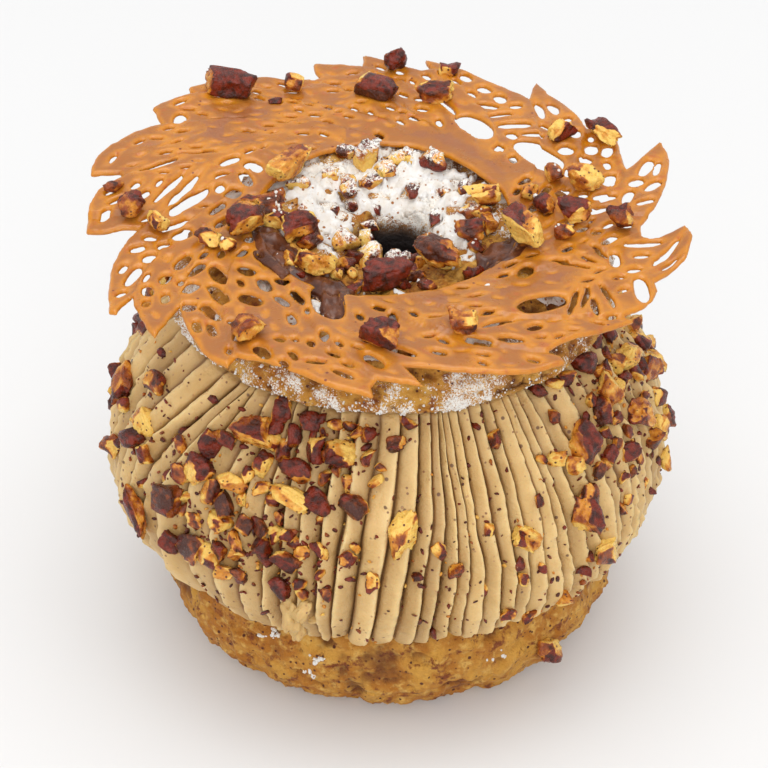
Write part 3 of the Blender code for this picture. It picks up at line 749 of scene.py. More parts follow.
WINDOWS = (  # the wider openings of the lace: x, y, half-length, half-width, turn of the long axis
    (13.0, 39.4, 1.4, 0.7, 120), (11.3, 37.9, 1.2, 0.5, 115), (16.2, 35.3, 1.3, 0.9, 130),
    (18.8, 32.3, 1.4, 0.9, 115), (21.3, 29.9, 0.9, 0.8, 0), (9.6, 29.9, 2.6, 0.6, 120),
    (16.4, 30.2, 1.9, 0.7, 165), (25.0, 29.2, 2.5, 0.6, 105), (27.2, 29.5, 1.9, 0.7, 110),
    (18.6, 27.3, 1.9, 0.6, 5), (14.1, 23.4, 4.4, 2.1, 125), (20.9, 24.0, 2.7, 0.9, 0),
    (28.9, 25.5, 1.4, 0.7, 40), (26.0, 23.6, 1.2, 0.4, 125), (23.5, 21.0, 1.6, 0.7, 170),
    (27.7, 19.8, 0.9, 0.4, 170), (28.7, 16.5, 1.3, 1.1, 120), (32.9, 17.2, 1.6, 1.1, 80),
    (35.5, 16.5, 1.7, 0.9, 80), (31.7, 14.0, 1.2, 0.9, 130), (24.4, 15.0, 5.2, 2.3, 130),
    (35.4, 12.4, 1.1, 0.6, 95), (41.5, 12.4, 2.2, 0.9, 65), (43.2, 12.0, 1.7, 0.5, 72),
    (39.6, 8.6, 1.2, 1.0, 20), (42.2, 7.4, 1.5, 0.8, 50), (35.5, 8.6, 1.5, 0.9, 60),
    (38.2, 4.9, 1.7, 0.9, 70), (34.4, 4.7, 1.9, 0.7, 20), (40.8, 3.2, 1.4, 0.6, 25),
    (33.4, 1.7, 1.8, 0.7, 25), (31.0, 4.8, 0.7, 0.6, 0), (32.4, -4.4, 0.8, 0.7, 20),
    (-34.2, 26.3, 1.7, 0.9, 80), (-30.8, 15.3, 2.9, 0.5, 3), (-25.4, 13.0, 1.8, 0.8, 35),
    (-21.4, 12.0, 1.7, 1.1, 150), (-36.6, 11.9, 3.2, 0.7, 28), (-22.5, 8.8, 1.6, 0.9, 120),
    (-26.2, 9.4, 1.3, 0.6, 30), (-26.5, 6.1, 0.9, 0.7, 60), (-34.8, 6.2, 4.1, 0.5, 57),
    (-32.4, 5.8, 4.2, 0.6, 57), (-31.5, 2.9, 4.2, 1.2, 48), (-24.3, 5.1, 1.4, 1.1, 50),
    (-33.1, -2.6, 2.4, 0.6, 30), (-31.9, -5.3, 1.7, 1.3, 40), (-26.7, 1.2, 1.7, 0.6, 52),
    (-25.7, -1.8, 1.6, 0.6, 50), (-36.9, -5.8, 1.0, 0.6, 10), (-34.7, -7.7, 0.9, 0.8, 20),
    (-38.8, -8.2, 1.2, 0.7, 20), (-36.9, -10.3, 1.1, 0.9, 20), (-40.7, -12.6, 0.9, 0.5, 70),
    (-39.0, -14.3, 2.2, 0.8, 65), (-36.8, -15.4, 1.0, 0.4, 75), (-33.9, -15.9, 1.2, 0.8, 60),
    (-31.4, -11.8, 1.8, 0.9, 60), (-29.2, -14.3, 1.8, 0.8, 50), (-25.9, -15.5, 2.2, 1.0, 118),
    (-29.8, -18.8, 1.5, 1.1, 60), (-21.7, -14.7, 1.5, 1.1, 150), (-18.6, -18.1, 1.9, 0.9, 118),
    (-16.0, -17.2, 1.2, 0.7, 150), (-25.8, -20.3, 2.7, 1.0, 122), (-20.7, -21.8, 2.0, 1.2, 150),
    (-16.0, -22.5, 1.9, 0.7, 115), (-13.6, -21.8, 2.1, 0.7, 112), (-30.0, -23.4, 1.1, 1.0, 0),
    (-27.5, -23.4, 0.9, 0.7, 60), (-26.3, -24.8, 2.0, 0.8, 125), (-28.6, -28.3, 1.4, 0.7, 105),
    (-26.3, -28.8, 1.6, 0.7, 105), (-18.4, -35.2, 1.9, 0.9, 122), (-16.0, -32.4, 0.9, 0.6, 140),
    (-11.3, -33.2, 0.9, 0.6, 120), (-10.5, -37.6, 1.5, 0.6, 170), (-8.0, -35.6, 1.0, 0.5, 140),
    (-15.2, -38.0, 0.9, 0.5, 120), (-6.5, -40.1, 1.8, 0.7, 148), (-2.1, -37.1, 2.1, 0.9, 130),
    (2.4, -34.8, 2.1, 0.7, 150), (7.6, -34.6, 1.1, 0.5, 170), (13.3, -32.0, 2.0, 0.6, 165),
    (18.1, -31.8, 1.8, 0.7, 175), (16.4, -27.8, 2.5, 0.5, 22), (21.8, -28.4, 1.3, 0.8, 15),
    (23.2, -22.9, 3.9, 1.9, 25), (27.9, -22.2, 3.0, 0.4, 78), (29.7, -20.8, 2.6, 0.4, 78),
    (31.1, -22.9, 2.2, 0.5, 98), (33.2, -20.3, 2.8, 0.35, 112), (28.0, -12.9, 3.0, 0.35, 165),
    (30.9, -11.5, 1.3, 0.3, 155), (32.8, -9.5, 1.8, 0.5, 130), (35.1, -11.3, 1.9, 0.8, 92),
    (34.3, -6.6, 1.5, 0.8, 50), (39.4, -6.5, 3.0, 0.8, 12), (42.9, -9.4, 3.4, 0.5, 50),
    (43.3, -12.1, 1.8, 0.35, 40), (38.5, -18.3, 2.8, 1.0, 95), (21.1, -14.6, 1.4, 1.0, 60),
    (-9.0, -22.6, 4.6, 2.3, 108),
)
SMALL_HOLES = (  # angle; half-length, half-width, web between them and open share thereabouts
    (0, 0.95, 0.55, 0.8, 0.85), (40, 1.0, 0.6, 0.75, 0.9), (75, 0.8, 0.42, 0.95, 0.7),
    (100, 0.75, 0.34, 0.95, 0.65), (130, 0.75, 0.27, 1.1, 0.6), (165, 0.8, 0.34, 1.05, 0.6),
    (185, 0.95, 0.5, 0.85, 0.85), (215, 1.1, 0.6, 0.8, 0.9), (240, 1.0, 0.5, 0.85, 0.8),
    (262, 0.8, 0.36, 1.05, 0.55), (295, 0.75, 0.32, 1.05, 0.55), (330, 0.8, 0.34, 1.05, 0.55),
    (345, 0.9, 0.42, 1.1, 0.6),
)


def tuile_height(x, y):
    """Height of the middle of the tuile's thickness above a place."""
    height = TUILE_LEVEL + TUILE_RISE * np.tanh(y / TUILE_RISE_RUN)
    droop = TUILE_DROOP * np.clip(np.hypot(x, y) - TUILE_DROOP_START, 0.0, None) ** 2
    return height - np.where(y < 0, droop, 0.0)


def around_table(table, angle, column=1):
    """Value at an angle in degrees, from a table whose rows start with an angle."""
    rows = np.array(table)
    return np.interp(angle, rows[:, 0], rows[:, column], period=360)


def outline_depth(x, y):
    """Distance inside the lace's outer edge, negative outside it."""
    nearest = np.full(x.shape, 1e9)
    within = np.zeros(x.shape, bool)
    corners = np.array(OUTLINE)
    for (x0, y0), (x1, y1) in zip(corners, np.roll(corners, -1, 0)):
        run_x, run_y = x1 - x0, y1 - y0
        share = np.clip(((x - x0) * run_x + (y - y0) * run_y) / (run_x**2 + run_y**2), 0, 1)
        nearest = np.minimum(nearest, np.hypot(x - x0 - share * run_x, y - y0 - share * run_y))
        if run_y:
            within ^= ((y0 > y) != (y1 > y)) & (x < x0 + run_x * (y - y0) / run_y)
    return np.where(within, nearest, -nearest)


def sheet_depth(x, y):
    """Distance inside the whole sheet, before it is pierced."""
    degrees = np.degrees(np.arctan2(y, x)) % 360
    return np.minimum(outline_depth(x, y), np.hypot(x, y) - around_table(INNER_EDGE, degrees))


def hole_depth(x, y, hole):
    """Distance inside an oval hole, negative outside it."""
    hole_x, hole_y, half_length, half_width, turn = hole
    cosine, sine = math.cos(math.radians(turn)), math.sin(math.radians(turn))
    along = (x - hole_x) * cosine + (y - hole_y) * sine
    across = (y - hole_y) * cosine - (x - hole_x) * sine
    reach = (np.abs(along / half_length) ** 2.3 + np.abs(across / half_width) ** 2.3) ** (1 / 2.3)
    return (1 - reach) * half_width


def hole_discs(holes):
    """Three discs that nearly fill each oval hole: x, y and radius of each."""
    x, y, half_length, half_width, turn = np.array(holes).T
    step = (half_length - half_width)[:, None] * np.array([-0.9, 0.0, 0.9])
    turn = np.radians(turn)[:, None]
    width = np.broadcast_to(half_width[:, None], step.shape)
    return np.stack([x[:, None] + step * np.cos(turn), y[:, None] + step * np.sin(turn), width], -1)


def small_holes():
    """The many small holes, packed between the windows: each with whether it goes right through."""
    chance = np.random.default_rng(314)
    count = 5200
    angle = chance.uniform(0, 360, count)
    radius = np.sqrt(chance.uniform(20.0**2, 47.5**2, count))
    scale = np.sort(chance.uniform(0.7, 1.3, count))[::-1]
    half_length = around_table(SMALL_HOLES, angle, 1) * scale
    half_width = around_table(SMALL_HOLES, angle, 2) * scale * chance.uniform(0.8, 1.15, count)
    web = around_table(SMALL_HOLES, angle, 3)
    opened = chance.uniform(0, 1, count) < around_table(SMALL_HOLES, angle, 4)
    heading = angle + math.degrees(LEAF_LEAN) + chance.uniform(-32, 32, count)
    x, y = radius * np.cos(np.radians(angle)), radius * np.sin(np.radians(angle))
    holes = np.column_stack([x, y, half_length, half_width, heading])
    discs = hole_discs(holes)
    margin = (sheet_depth(discs[..., 0], discs[..., 1]) - discs[..., 2]).min(1)
    plate = (angle > 22) & (angle < 85) & (radius < 24.5)
    taken = hole_discs(WINDOWS).reshape(-1, 3)
    chosen = []
    for number in np.flatnonzero((margin > 1.0) & ~plate):
        gap = np.linalg.norm(discs[number][:, None, :2] - taken[None, :, :2], axis=-1)
        gap -= discs[number][:, None, 2] + taken[None, :, 2]
        if gap.min() > web[number]:
            chosen.append((tuple(holes[number]), opened[number]))
            taken = np.concatenate([taken, discs[number]])
    return chosen


def leaf_step(x, y):
    """Height of the overlap: each leaf lies on the next and slopes down under the one before."""
    phases = []
    for notch_x, notch_y in NOTCHES:
        turn = math.atan2(notch_y, notch_x) - math.tan(LEAF_LEAN) * math.log(math.hypot(notch_x, notch_y))
        phases.append(math.degrees(turn) % 360)
    table = []
    for phase in sorted(phases):
        table.append((phase - 0.25, 0.0))
        table.append((phase + 0.25, 0.5))
    radius = np.hypot(x, y) + 1e-9
    phase = np.degrees(np.arctan2(y, x) - math.tan(LEAF_LEAN) * np.log(radius)) % 360
    return around_table(table, phase) * smooth(19.0, 27.0, radius)


def lace_fields(x, y):
    """Distance inside the lace, thinness and height of every point of the plan grid."""
    flat = np.stack([x.ravel(), y.ravel(), 0 * x.ravel()], -1)
    x = x + (0.22 * noise(flat, 5.0, 41) + 0.12 * noise(flat, 1.5, 42)).reshape(x.shape)
    y = y + (0.22 * noise(flat, 5.0, 43) + 0.12 * noise(flat, 1.5, 44)).reshape(y.shape)
    inside = sheet_depth(x, y)
    holes = [(window, True) for window in WINDOWS] + small_holes()
    thin = np.zeros_like(x)
    for hole, opened in holes:
        near = np.hypot(x - hole[0], y - hole[1]) < hole[2] + 3.0
        found = hole_depth(x[near], y[near], hole)
        if opened:
            inside[near] = np.minimum(inside[near], -found)
        else:
            thin[near] = np.maximum(thin[near], smooth(-0.3, 0.35, found))
    return inside, thin, leaf_step(x, y)


def contour_cells(inside):
    """Cuts the grid along the lace's edge: returns vertex places on the grid and polygons."""
    filled = inside > 0
    number = np.full(inside.shape, -1)
    number[filled] = np.arange(filled.sum())
    places = [np.argwhere(filled).astype(float)]
    total = int(filled.sum())
    cuts = {}
    for axis in (0, 1):
        first = inside[:-1, :] if axis == 0 else inside[:, :-1]
        second = inside[1:, :] if axis == 0 else inside[:, 1:]
        crossing = (first > 0) != (second > 0)
        share = np.clip(first / np.where(crossing, first - second, 1.0), 0.04, 0.96)
        spots = np.argwhere(crossing).astype(float)
        spots[:, axis] += share[crossing]
        index = np.full(crossing.shape, -1)
        index[crossing] = total + np.arange(crossing.sum())
        total += int(crossing.sum())
        cuts[axis] = index
        places.append(spots)
    corner = (number[:-1, :-1], number[1:, :-1], number[1:, 1:], number[:-1, 1:])
    edge = (cuts[0][:, :-1], cuts[1][1:, :], cuts[0][:, 1:], cuts[1][:-1, :])
    case = sum(((corner[k] >= 0).astype(int) << k) for k in range(4))
    polygons = []
    for kind in range(1, 16):
        here = case == kind
        loop = []
        for k in range(4):
            if kind >> k & 1:
                loop.append(corner[k][here])
            if (kind >> k & 1) != (kind >> (k + 1) % 4 & 1):
                loop.append(edge[k][here])
        for k in range(1, len(loop) - 1):
            polygons.append(np.stack([loop[0], loop[k], loop[k + 1]], -1))
    return np.concatenate(places), np.concatenate(polygons), int(filled.sum())


def build_tuile():
    """The caramel lace: a thin sheet cut along its outline and holes, with rounded edges."""
    reach = 49.5
    steps = np.arange(-reach, reach, LACE_PITCH)
    x, y = np.meshgrid(steps, steps, indexing="ij")
    inside, thin, rise = lace_fields(x, y)
    spots, triangles, solid = contour_cells(inside)
    plan = spots * LACE_PITCH - reach
    cell = np.minimum(np.round(spots).astype(int), len(steps) - 1)
    depth = inside[cell[:, 0], cell[:, 1]]
    depth[solid:] = 0.0
    thin = thin[cell[:, 0], cell[:, 1]]
    rise = rise[cell[:, 0], cell[:, 1]]
    flat = np.column_stack([plan, np.zeros(len(plan))])
    round_edge = np.clip(depth / 0.55, 0.0, 1.0)
    thick = np.sqrt(1 - (1 - round_edge) ** 2) * (0.95 - 0.5 * thin)
    wave = 0.5 * noise(flat, 13.0, 51) + 0.16 * noise(flat, 4.0, 52) + 0.05 * noise(flat, 1.6, 53)
    curl = 2.4 * smooth(42.5, 47.5, plan[:, 0]) * smooth(9.0, 5.0, np.abs(plan[:, 1] + 8.0))
    middle = tuile_height(plan[:, 0], plan[:, 1]) + wave + rise + curl
    top = np.column_stack([plan, middle + 0.55 * thick])
    bottom = np.column_stack([plan[:solid], (middle - 0.45 * thick)[:solid]])
    count = len(top)
    lower = np.where(triangles < solid, triangles + count, triangles)
    points = np.concatenate([top, bottom])
    faces = np.concatenate([triangles, lower[:, ::-1]])
    # Thinness plus a painted glow of light through the sheet: strongest in the unpierced holes and along the
    # cut edges.
    glow = np.clip(thin * 0.7 + 0.55 * smooth(1.0, 0.0, depth), 0, 1)
    plate = smooth(1.1, 3.2, depth) * (1 - thin)
    marks = {"thin": np.concatenate([glow, glow[:solid]]), "plate": np.concatenate([plate, plate[:solid]])}
    piece = add_piece("caramel_lace", points, faces, caramel_finish(), marks)
    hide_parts("lace_tuile")
    return piece


# ---------------------------------------------------------------- nuts

NUT_LOOKS = {  # skin's share, toasting, boxiness, curl and groove of the larger pieces
    1: (0.8, 0.7, 0.6, 0.1, 0.0),
    2: (0.35, 0.9, 0.9, 0.0, 0.1),
    3: (0.1, 0.45, 0.8, 0.3, 0.35),
    4: (0.45, 0.15, 0.8, -0.35, 0.2),
    5: (0.3, 0.4, 0.7, 0.2, 0.2),
    6: (0.0, 0.35, 0.7, 0.2, 0.2),
    7: (0.4, 0.4, 0.8, 0.3, 0.1),
    8: (0.5, 0.6, 0.9, 0.4, 0.5),
    9: (0.3, 0.05, 0.7, -0.3, 0.3),
    10: (0.6, 0.55, 0.7, 0.1, 0.1),
    11: (0.05, 0.5, 0.9, 0.0, 0.2),
    12: (0.85, 0.8, 0.9, 0.0, 0.0),
    13: (0.05, 0.5, 0.9, 0.2, 0.1),
    14: (0.75, 0.6, 0.7, 0.1, 0.0),
    15: (0.1, 0.3, 0.7, 0.5, 0.5),
    16: (0.3, 0.85, 0.9, 0.0, 0.1),
    17: (0.6, 0.9, 0.6, 0.0, 0.0),
    18: (0.0, 0.25, 0.6, 0.1, 0.1),
    19: (0.45, 0.25, 0.6, -0.5, 0.2),
    20: (0.35, 0.4, 0.7, 0.5, 0.3),
    21: (0.75, 0.6, 0.6, 0.1, 0.0),
    22: (0.05, 0.75, 0.9, 0.0, 0.1),
    23: (0.0, 0.4, 0.9, 0.5, 0.7),
    24: (0.1, 0.5, 0.9, 0.2, 0.4),
    25: (0.8, 0.7, 0.7, 0.0, 0.0),
    26: (0.0, 0.2, 0.7, 0.0, 0.0),
    27: (0.45, 0.55, 0.8, 0.0, 0.3),
    28: (0.2, 0.8, 0.6, 0.0, 0.1),
    29: (0.05, 0.65, 0.95, 0.0, 0.2),
    30: (0.45, 0.3, 0.8, 0.0, 0.0),
    31: (0.7, 0.8, 0.7, 0.2, 0.0),
    32: (0.0, 0.15, 0.8, 0.1, 0.1),
    33: (0.4, 0.35, 0.9, 0.0, 0.1),
    34: (0.05, 0.2, 0.8, 0.1, 0.1),
    35: (0.25, 0.35, 0.9, 0.6, 0.6),
    36: (0.15, 0.7, 0.8, 0.0, 0.2),
    37: (0.3, 0.65, 0.7, 0.0, 0.2),
    38: (0.1, 0.3, 0.8, 0.3, 0.3),
    39: (0.0, 0.4, 0.8, 0.1, 0.1),
    40: (0.4, 0.6, 0.8, 0.2, 0.2),
    41: (0.0, 0.15, 0.8, 0.2, 0.1),
    42: (0.05, 0.4, 0.9, 0.0, 0.1),
    43: (0.7, 0.7, 0.8, 0.1, 0.0),
    44: (0.1, 0.4, 0.9, 0.1, 0.1),
}
NUT_SIZES = {  # length, width, thickness and turn of the pieces that aren't about as long as wide
    1: (9.4, 4.8, 4.8, 162), 3: (6.4, 4.4, 3.6, 170), 4: (8.0, 4.2, 3.8, 124),
    5: (5.0, 3.4, 3.2, 34), 6: (6.0, 4.2, 3.8, 3), 7: (5.6, 4.6, 4.2, 145),
    9: (12.0, 5.0, 4.6, 114), 10: (7.6, 5.4, 4.6, 69), 13: (4.8, 3.4, 3.2, 129),
    14: (7.0, 4.4, 4.2, 150), 17: (8.0, 4.0, 3.8, 147), 18: (9.2, 4.0, 3.8, 55),
    19: (6.8, 5.0, 4.0, 23), 20: (7.4, 4.2, 4.0, 129), 21: (8.4, 4.6, 4.2, 13),
    22: (8.4, 6.0, 4.8, 152), 23: (6.2, 4.2, 3.6, 3), 24: (4.8, 3.8, 3.4, 3),
    25: (6.2, 4.6, 3.6, 95), 26: (4.8, 4.4, 3.0, 130), 27: (7.8, 5.6, 4.2, 20),
    28: (5.8, 5.4, 3.4, 15), 29: (6.6, 5.4, 2.8, 50), 30: (5.8, 5.2, 3.6, 170),
    31: (9.2, 3.8, 3.2, 134), 32: (8.0, 3.2, 3.0, 166), 33: (5.6, 4.8, 3.8, 18),
    34: (8.0, 4.6, 3.2, 92), 35: (5.6, 4.6, 3.0, 127), 36: (8.2, 6.0, 4.8, 88),
    37: (6.6, 5.2, 4.2, 105), 38: (7.4, 4.8, 3.4, 153), 39: (6.2, 4.4, 3.6, 70),
    40: (6.6, 4.8, 4.0, 140), 41: (6.8, 4.4, 3.6, 145), 42: (6.4, 4.2, 3.6, 140),
    43: (6.4, 5.0, 4.0, 130), 44: (6.0, 4.0, 3.6, 150),
}
FIRST_SIDE_NUT = 25


def nut_shape(level, size, look, seed):
    """A broken nut in a box of the given size: points, faces, skin and toasting of each point."""
    chance = np.random.default_rng(seed)
    share, toast, boxy, curl, groove = look
    start, faces = BALLS[level]
    offset = chance.uniform(-40, 40, 3)
    points = np.sign(start) * np.abs(start) ** boxy
    swelling = 0.3 * noise(start + offset, 0.95, 5) + 0.16 * noise(start + offset, 0.5, 6)
    points = points * (1 + swelling)[:, None]
    skin_side = chance.normal(size=3) + np.array([0, 0, 1.6])
    skin_side /= np.linalg.norm(skin_side)
    broken = np.zeros(len(points))
    bar = boxy < 0.65
    for cut in range(2 if bar else 5):
        normal = chance.normal(size=3) * np.array([1.6, 1.0, 0.8])
        if bar:
            normal = np.array([2.0 - 4.0 * cut, 0.5 * normal[1], 0.5 * normal[2]])
        normal /= np.linalg.norm(normal)
        if normal @ skin_side > 0.75 and share > 0.4:
            continue
        over = points @ normal - chance.uniform(0.45, 0.85) - 0.05 * noise(start + offset, 0.3, 20 + cut)
        broken = np.maximum(broken, smooth(0.0, 0.08, over))
        points = points - normal * (np.clip(over, 0, None) * 0.84)[:, None]
    points[:, 2] += curl * (points[:, 0] ** 2 - 0.4)
    points[:, 1] += 0.5 * curl * points[:, 0] ** 2
    trough = groove * np.exp(-((points[:, 1] / 0.25) ** 2)) * smooth(-0.1, 0.5, points[:, 2])
    points[:, 2] -= trough
    wrinkles = 0.1 * noise(start + offset, 0.42, 8) + 0.085 * noise(start + offset, 0.2, 9)
    wrinkles += 0.045 * noise(start + offset, 0.1, 11)
    points += start * wrinkles[:, None]
    low, high = points.min(0), points.max(0)
    points = ((points - low) / (high - low) - 0.5) * np.asarray(size)
    if share > 0.9:
        broken = broken * 0.2
    side = start @ skin_side + 0.22 * noise(start + offset, 0.5, 7)
    skin = smooth(1 - 2 * share - 0.05, 1 - 2 * share + 0.05, side) * (1 - 0.85 * broken)
    # Besides the toasting, the flesh is also made darker along the groove.
    toasting = toast - 0.1 + 0.3 * noise(start + offset, 0.7, 10) - 0.4 * broken + 0.5 * trough
    fringe = smooth(0.4 - 2 * share, 1 - 2 * share, side) * (share > 0)
    toasting = toasting + 0.3 * (1 - broken) + 0.32 * fringe
    return points, faces, np.clip(skin, 0, 1), np.clip(toasting, 0, 1)


def build_large_nuts():
    """One piece for each nut of the construction, in that nut's place."""
    finish = nut_finish()
    placed = []
    for number, look in NUT_LOOKS.items():
        node = f"nut_piece_{number:02d}"
        low, high = node_box(node)
        middle = (low + high) / 2
        long, wide, thick, turn = NUT_SIZES.get(number, (*(high - low), 0))
        normal = np.array([0.0, 0.0, 1.0])
        if number >= FIRST_SIDE_NUT:
            rise = (cream_radius(middle[2] - 1) - cream_radius(middle[2] + 1)) / 2
            out = math.atan2(middle[1], middle[0])
            normal = np.array([math.cos(out), math.sin(out), rise if middle[2] > BASE_HEIGHT else 0])
            normal /= np.linalg.norm(normal)
            middle = middle - normal * 1.3
        else:
            middle = middle - normal * 0.5
        points, faces, skin, toast = nut_shape(4, (long, wide, thick), look, 400 + number)
        axes = level_basis(normal, math.radians(turn))
        points = middle + points @ axes
        marks = {"skin": skin, "toast": toast, "dust": 0 * skin}
        piece = add_piece(f"large_nut_{number:02d}", points, faces, finish, marks)
        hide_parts(node)
        placed.append((middle, (long + wide) / 4))
    return finish, placed


def level_basis(normal, turn):
    """Axes of a piece lying against a surface: the first is level before the turn about the normal."""
    if abs(normal[2]) > 0.99:
        side = np.array([1.0, 0.0, 0.0])
    else:
        side = np.cross([0.0, 0.0, 1.0], normal)
        side /= np.linalg.norm(side)
    up = np.cross(normal, side)
    first = side * math.cos(turn) + up * math.sin(turn)
    return np.stack([first, np.cross(normal, first), normal])


CREAM_NUT_GROUPS = (  # angle, height, spread of both, how many, and their usual length
    (250, 50, 8, 5, 34, 4.3),
    (240, 43, 9, 5, 30, 4.1),
    (229, 40, 7, 4, 12, 4.2),
    (210, 43, 9, 5, 10, 4.0),
    (256, 57, 6, 1.6, 34, 2.6),
    (246, 36, 6, 3, 7, 3.6),
    (253, 37, 6, 4, 12, 3.4),
    (292, 40, 18, 10, 24, 2.8),
    (338, 53, 7, 5, 40, 4.3),
    (352, 50, 7, 6, 26, 4.3),
    (321, 52, 5, 4, 12, 3.6),
    (326, 43, 7, 4, 9, 3.4),
    (20, 47, 16, 8, 24, 3.4),
    (75, 44, 16, 9, 26, 3.4),
    (130, 48, 16, 8, 24, 3.4),
    (170, 44, 12, 9, 16, 3.4),
)
LID_NUT_GROUPS = (  # x, y, spread, how many, and their usual length
    (-2, -5.5, 2.6, 9, 4.0),
    (4.5, -5.5, 2.4, 7, 3.8),
    (-11, -8, 5, 14, 3.6),
    (-17, -2, 3, 7, 3.6),
    (-7, -14, 4, 9, 3.6),
    (4, -12, 5, 12, 3.6),
    (13, -1, 4, 12, 3.8),
    (-2, 13, 6, 8, 3.2),
    (9, 9, 5, 6, 3.2),
    (-8, 4, 6, 9, 3.2),
)
TUILE_NUTS = (  # x, y, length, width, thickness, turn, and the look as in NUT_LOOKS
    (-18.6, 1.4, 6.0, 4.2, 3.6, 22, (0.1, 0.4, 0.8, 0.3, 0.2)),
    (-15.6, 35.9, 3.4, 3.0, 3.0, 0, (0.3, 0.5, 0.7, 0.0, 0.0)),
    (-18.6, 31.5, 2.6, 2.0, 0.8, 20, (1.0, 0.8, 0.8, 0.0, 0.0)),
    (10.5, 40.8, 4.0, 2.8, 2.4, 10, (0.6, 0.5, 0.8, 0.4, 0.0)),
    (-43.4, 5.4, 3.6, 2.6, 2.2, 13, (0.6, 0.8, 0.9, 0.2, 0.0)),
    (27.4, -6.0, 3.4, 2.8, 2.6, 172, (0.3, 0.4, 0.9, 0.2, 0.0)),
    (26.6, 7.6, 4.4, 3.0, 3.2, 116, (0.0, 0.4, 0.8, 0.0, 0.1)),
    (24.6, 0.8, 3.8, 3.2, 3.0, 142, (0.5, 0.6, 0.9, 0.0, 0.0)),
    (22.4, 4.2, 3.6, 2.6, 2.6, 60, (0.0, 0.4, 0.9, 0.3, 0.1)),
    (-3.6, 36.6, 3.4, 2.6, 2.2, 40, (0.0, 0.3, 0.9, 0.3, 0.1)),
    (-24.6, -9.6, 3.0, 2.4, 2.2, 40, (0.0, 0.5, 0.9, 0.0, 0.0)),
    (-2.9, -4.4, 5.2, 4.4, 4.6, 20, (0.0, 0.5, 0.9, 0.1, 0.1)),
    (1.8, -5.0, 4.4, 3.6, 4.4, 150, (0.2, 0.6, 0.9, 0.1, 0.1)),
    (-6.4, -2.4, 5.0, 4.2, 4.0, 60, (0.0, 0.5, 0.9, 0.1, 0.1)),
    (-21.4, 1.4, 3.4, 2.8, 2.6, 140, (0.6, 0.5, 0.8, 0.0, 0.0)),
    (-3.4, 15.6, 5.8, 3.8, 5.4, 70, (0.3, 0.35, 0.9, 0.3, 0.3)),
    (2.2, 17.0, 5.6, 3.0, 2.6, 10, (0.0, 0.7, 0.9, 0.2, 0.0)),
    (7.6, 14.6, 5.2, 3.6, 3.6, 150, (0.9, 0.6, 0.8, 0.2, 0.0)),
    (-9.2, 12.4, 3.4, 2.6, 2.2, 30, (0.0, 0.7, 0.9, 0.0, 0.0)),
    (-6.2, 8.2, 4.4, 3.0, 3.0, 100, (0.1, 0.6, 0.9, 0.2, 0.2)),
    (12.2, 9.6, 3.6, 2.6, 2.4, 50, (0.5, 0.5, 0.9, 0.2, 0.0)),
)


def cast(names, start, direction):
    """Nearest place where a ray meets one of the named surfaces, and the normal there."""
    best = None
    for name in names:
        spot, normal, _, distance = SURFACES[name].ray_cast(Vector(start), Vector(direction))
        if spot is not None and (best is None or distance < best[2]):
            facing = normal if normal.dot(Vector(direction)) < 0 else -normal
            best = (np.array(spot), np.array(facing), distance)
    return best


def random_look(chance):
    """Most pieces show flesh with a patch of skin, and a few are nearly all skin."""
    share = chance.choice([0.0, 0.3, 0.55, 0.95], p=[0.22, 0.32, 0.33, 0.13])
    toast, boxy = chance.uniform(0.2, 0.95), chance.uniform(0.55, 0.95)
    curl, groove = chance.uniform(-0.3, 0.5), chance.uniform(0, 0.3)
    return share, toast, boxy, curl, groove


def chopped(heap, spot, normal, length, look, seed, sink, powder):
    """Adds a chopped nut seated on a surface, a little tilted and sunk into it."""
    chance = np.random.default_rng(seed)
    size = (length, length * chance.uniform(0.6, 0.85), length * chance.uniform(0.45, 0.7))
    tilted = normal + chance.normal(size=3) * 0.22
    axes = basis(tilted, chance.uniform(0, TAU))
    points, faces, skin, toast = nut_shape(3 if length > 2.9 else 2, size, look, seed)
    middle = spot + normal * size[2] * (0.5 - sink)
    points = points @ axes
    dust = powder * smooth(-0.1, 0.6, points[:, 2] / (0.5 * length))
    heap.add(middle + points, faces, skin=skin, toast=toast, dust=dust)


